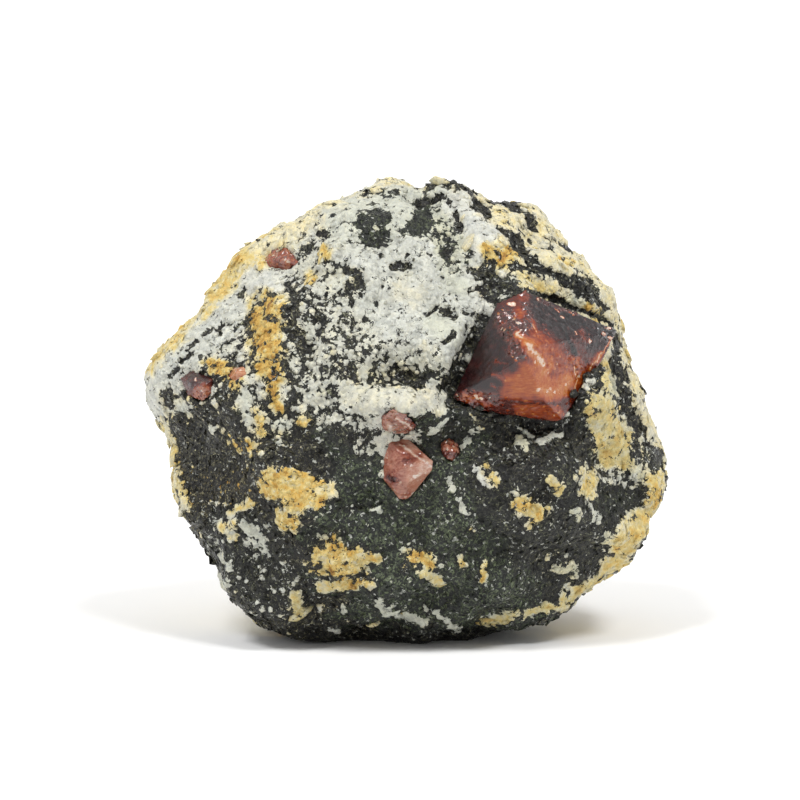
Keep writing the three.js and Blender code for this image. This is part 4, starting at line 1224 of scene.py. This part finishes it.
def grow_zircon(node, voxel, growth, rosy):
    """A zircon's piece on its CAD solid, with even quads to carry its fine shape."""
    piece = remesh(joined_copy(node), node.replace("zircon_", "crystal_"), voxel)
    values = tones_at(vertex_places(piece.data)[0])
    write_values(piece.data, "tone", values[:, 0])
    write_values(piece.data, "chipped", values[:, 1])
    write_values(piece.data, "rosy", np.full(len(values), rosy))
    chip_skin(piece, values[:, 1], CHIP, growth)
    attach(piece, "root")
    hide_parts(node)
    return piece


# Zircon with a greasy lustre: its high index makes it shine even where it is dark,
# and light that enters it comes back red-brown to orange.
zircon_material = new_material("translucent zircon")
tree = zircon_material.node_tree
zircon_place = add(tree, "ShaderNodeTexCoord").outputs["Object"]
tone_here, chipped_here, rosy_here = (
    add(tree, "ShaderNodeAttribute", attribute_name=name).outputs["Fac"]
    for name in ("tone", "chipped", "rosy")
)
turned = add(
    tree, "ShaderNodeMapping",
    {"Vector": zircon_place, "Rotation": (0.0, GROWTH_LEAN, 0.0), "Scale": (0.45, 1.0, 1.0)},
)
veil = add(
    tree, "ShaderNodeTexNoise", {"Vector": turned, "Scale": 1 / VEIL, "Detail": 7.0, "Roughness": 0.75},
)
veil_off = add(tree, "ShaderNodeMath", {0: veil, 1: 0.5}, operation="SUBTRACT")
tone_veiled = add(tree, "ShaderNodeMath", {0: veil_off, 1: 0.5, 2: tone_here}, operation="MULTIPLY_ADD")
growth_lines = add(
    tree, "ShaderNodeMapping",
    {"Vector": zircon_place, "Rotation": (0.0, GROWTH_LEAN, 0.0), "Scale": (0.2, 1.0, 1.0)},
)
lines = add(
    tree, "ShaderNodeTexNoise",
    {"Vector": growth_lines, "Scale": 1 / GROWTH_LINE, "Detail": 3.0, "Roughness": 0.6},
)
line_off = add(tree, "ShaderNodeMath", {0: lines, 1: 0.5}, operation="SUBTRACT")
line_reach = add(tree, "ShaderNodeMapRange", {"Value": tone_here, "To Min": 0.15, "To Max": 0.5})
tone_lined = add(
    tree, "ShaderNodeMath", {0: line_off, 1: line_reach, 2: tone_veiled}, operation="MULTIPLY_ADD",
)
splinters = add(tree, "ShaderNodeTexVoronoi", {"Vector": zircon_place, "Scale": 1 / SPLINTER}, feature="F1")
splinter_tone = add(tree, "ShaderNodeSeparateXYZ", {0: splinters.outputs[1]})
splinter_off = add(tree, "ShaderNodeMath", {0: splinter_tone, 1: 0.5}, operation="SUBTRACT")
splinter_reach = add(tree, "ShaderNodeMath", {0: chipped_here, 1: 0.3}, operation="MULTIPLY")
tone_split = add(
    tree, "ShaderNodeMath", {0: splinter_off, 1: splinter_reach, 2: tone_lined}, operation="MULTIPLY_ADD",
)
# Painted glints: rare splinters on chipped parts are painted near white.
painted_glint_cells = add(
    tree, "ShaderNodeMapRange", {"Value": splinter_tone.outputs[1], "From Min": 0.955, "From Max": 0.97},
)
painted_glint_mask = add(tree, "ShaderNodeMath", {0: painted_glint_cells, 1: chipped_here}, operation="MULTIPLY")
tone_with_painted_glints = add(tree, "ShaderNodeMath", {0: painted_glint_mask, 1: 0.9, 2: tone_split}, operation="MULTIPLY_ADD")
veiled = add(tree, "ShaderNodeValToRGB", {0: tone_with_painted_glints})
set_ramp(veiled, [
    (0.0, "#0b0708"), (0.2, "#291416"), (0.42, "#5f2217"), (0.58, "#953813"),
    (0.74, "#bd5e1c"), (0.88, "#cf8440"), (1.0, "#f0d4bd"),
])
rosy_veiled = add(tree, "ShaderNodeValToRGB", {0: tone_with_painted_glints})
set_ramp(rosy_veiled, [
    (0.0, "#1c0c0c"), (0.3, "#5a211d"), (0.5, "#965140"),
    (0.7, "#bf8770"), (0.85, "#d4ac98"), (1.0, "#eedccf"),
])
zircon_colour = add(tree, "ShaderNodeMix", {0: rosy_here, 6: veiled, 7: rosy_veiled}, data_type="RGBA")
pits = add(
    tree, "ShaderNodeTexNoise",
    {"Vector": zircon_place, "Scale": 1 / PIT, "Detail": 4.0, "Roughness": 0.65},
)
pit_bump = add(tree, "ShaderNodeBump", {"Height": pits, "Strength": 0.5, "Distance": 0.06 * MM})
splinter_tilt = add(
    tree, "ShaderNodeVectorMath", {0: splinters.outputs[1], 1: (0.5, 0.5, 0.5)}, operation="SUBTRACT",
)
splinter_lean = add(tree, "ShaderNodeMath", {0: chipped_here, 1: 1.1}, operation="MULTIPLY")
tilt_scaled = add(
    tree, "ShaderNodeVectorMath", {0: splinter_tilt, "Scale": splinter_lean}, operation="SCALE",
)
leaning = add(tree, "ShaderNodeVectorMath", {0: pit_bump, 1: tilt_scaled}, operation="ADD")
zircon_normal = add(tree, "ShaderNodeVectorMath", {0: leaning}, operation="NORMALIZE")
grease = add(tree, "ShaderNodeTexNoise", {"Vector": zircon_place, "Scale": 1 / GREASE, "Detail": 3.0})
gloss = add(
    tree, "ShaderNodeMapRange",
    {"Value": grease, "From Min": 0.35, "From Max": 0.65, "To Min": 0.06, "To Max": 0.22},
)
zircon_face = add(
    tree, "ShaderNodeBsdfPrincipled",
    {
        "Base Color": zircon_colour.outputs[2],
        "Roughness": gloss,
        "IOR": ZIRCON_IOR,
        "Specular IOR Level": 0.13,
        "Coat Weight": chipped_here,
        "Coat Roughness": 0.04,
        "Coat Normal": zircon_normal,
        "Transmission Weight": 0.3,
        "Subsurface Weight": 0.25,
        "Subsurface Radius": (1.0, 0.35, 0.2),
        "Subsurface Scale": 0.6 * MM,
        "Normal": zircon_normal,
    },
)
add(tree, "ShaderNodeOutputMaterial", {"Surface": zircon_face})

ZIRCONS = [
    ("zircon_great", 0.14 * MM, 0.08 * MM, 0.0, "zircon_dark"),
    ("zircon_centre", 0.09 * MM, 0.3 * MM, 0.9, "zircon_pale"),
    ("zircon_centre_upper", 0.09 * MM, 0.3 * MM, 1.0, "zircon_pale"),
    ("zircon_bead", 0.09 * MM, 0.26 * MM, 0.6, "zircon_red"),
    ("zircon_upper_left", 0.09 * MM, 0.26 * MM, 0.3, "zircon_red"),
    ("zircon_left", 0.09 * MM, 0.26 * MM, 0.4, "zircon_red"),
    ("zircon_left_small", 0.09 * MM, 0.26 * MM, 0.4, "zircon_red"),
]
for node, voxel, growth, rosy, finish in ZIRCONS:
    crystal = grow_zircon(node, voxel, growth, rosy)
    crystal.data.materials.clear()
    crystal.data.materials.append(zircon_material)
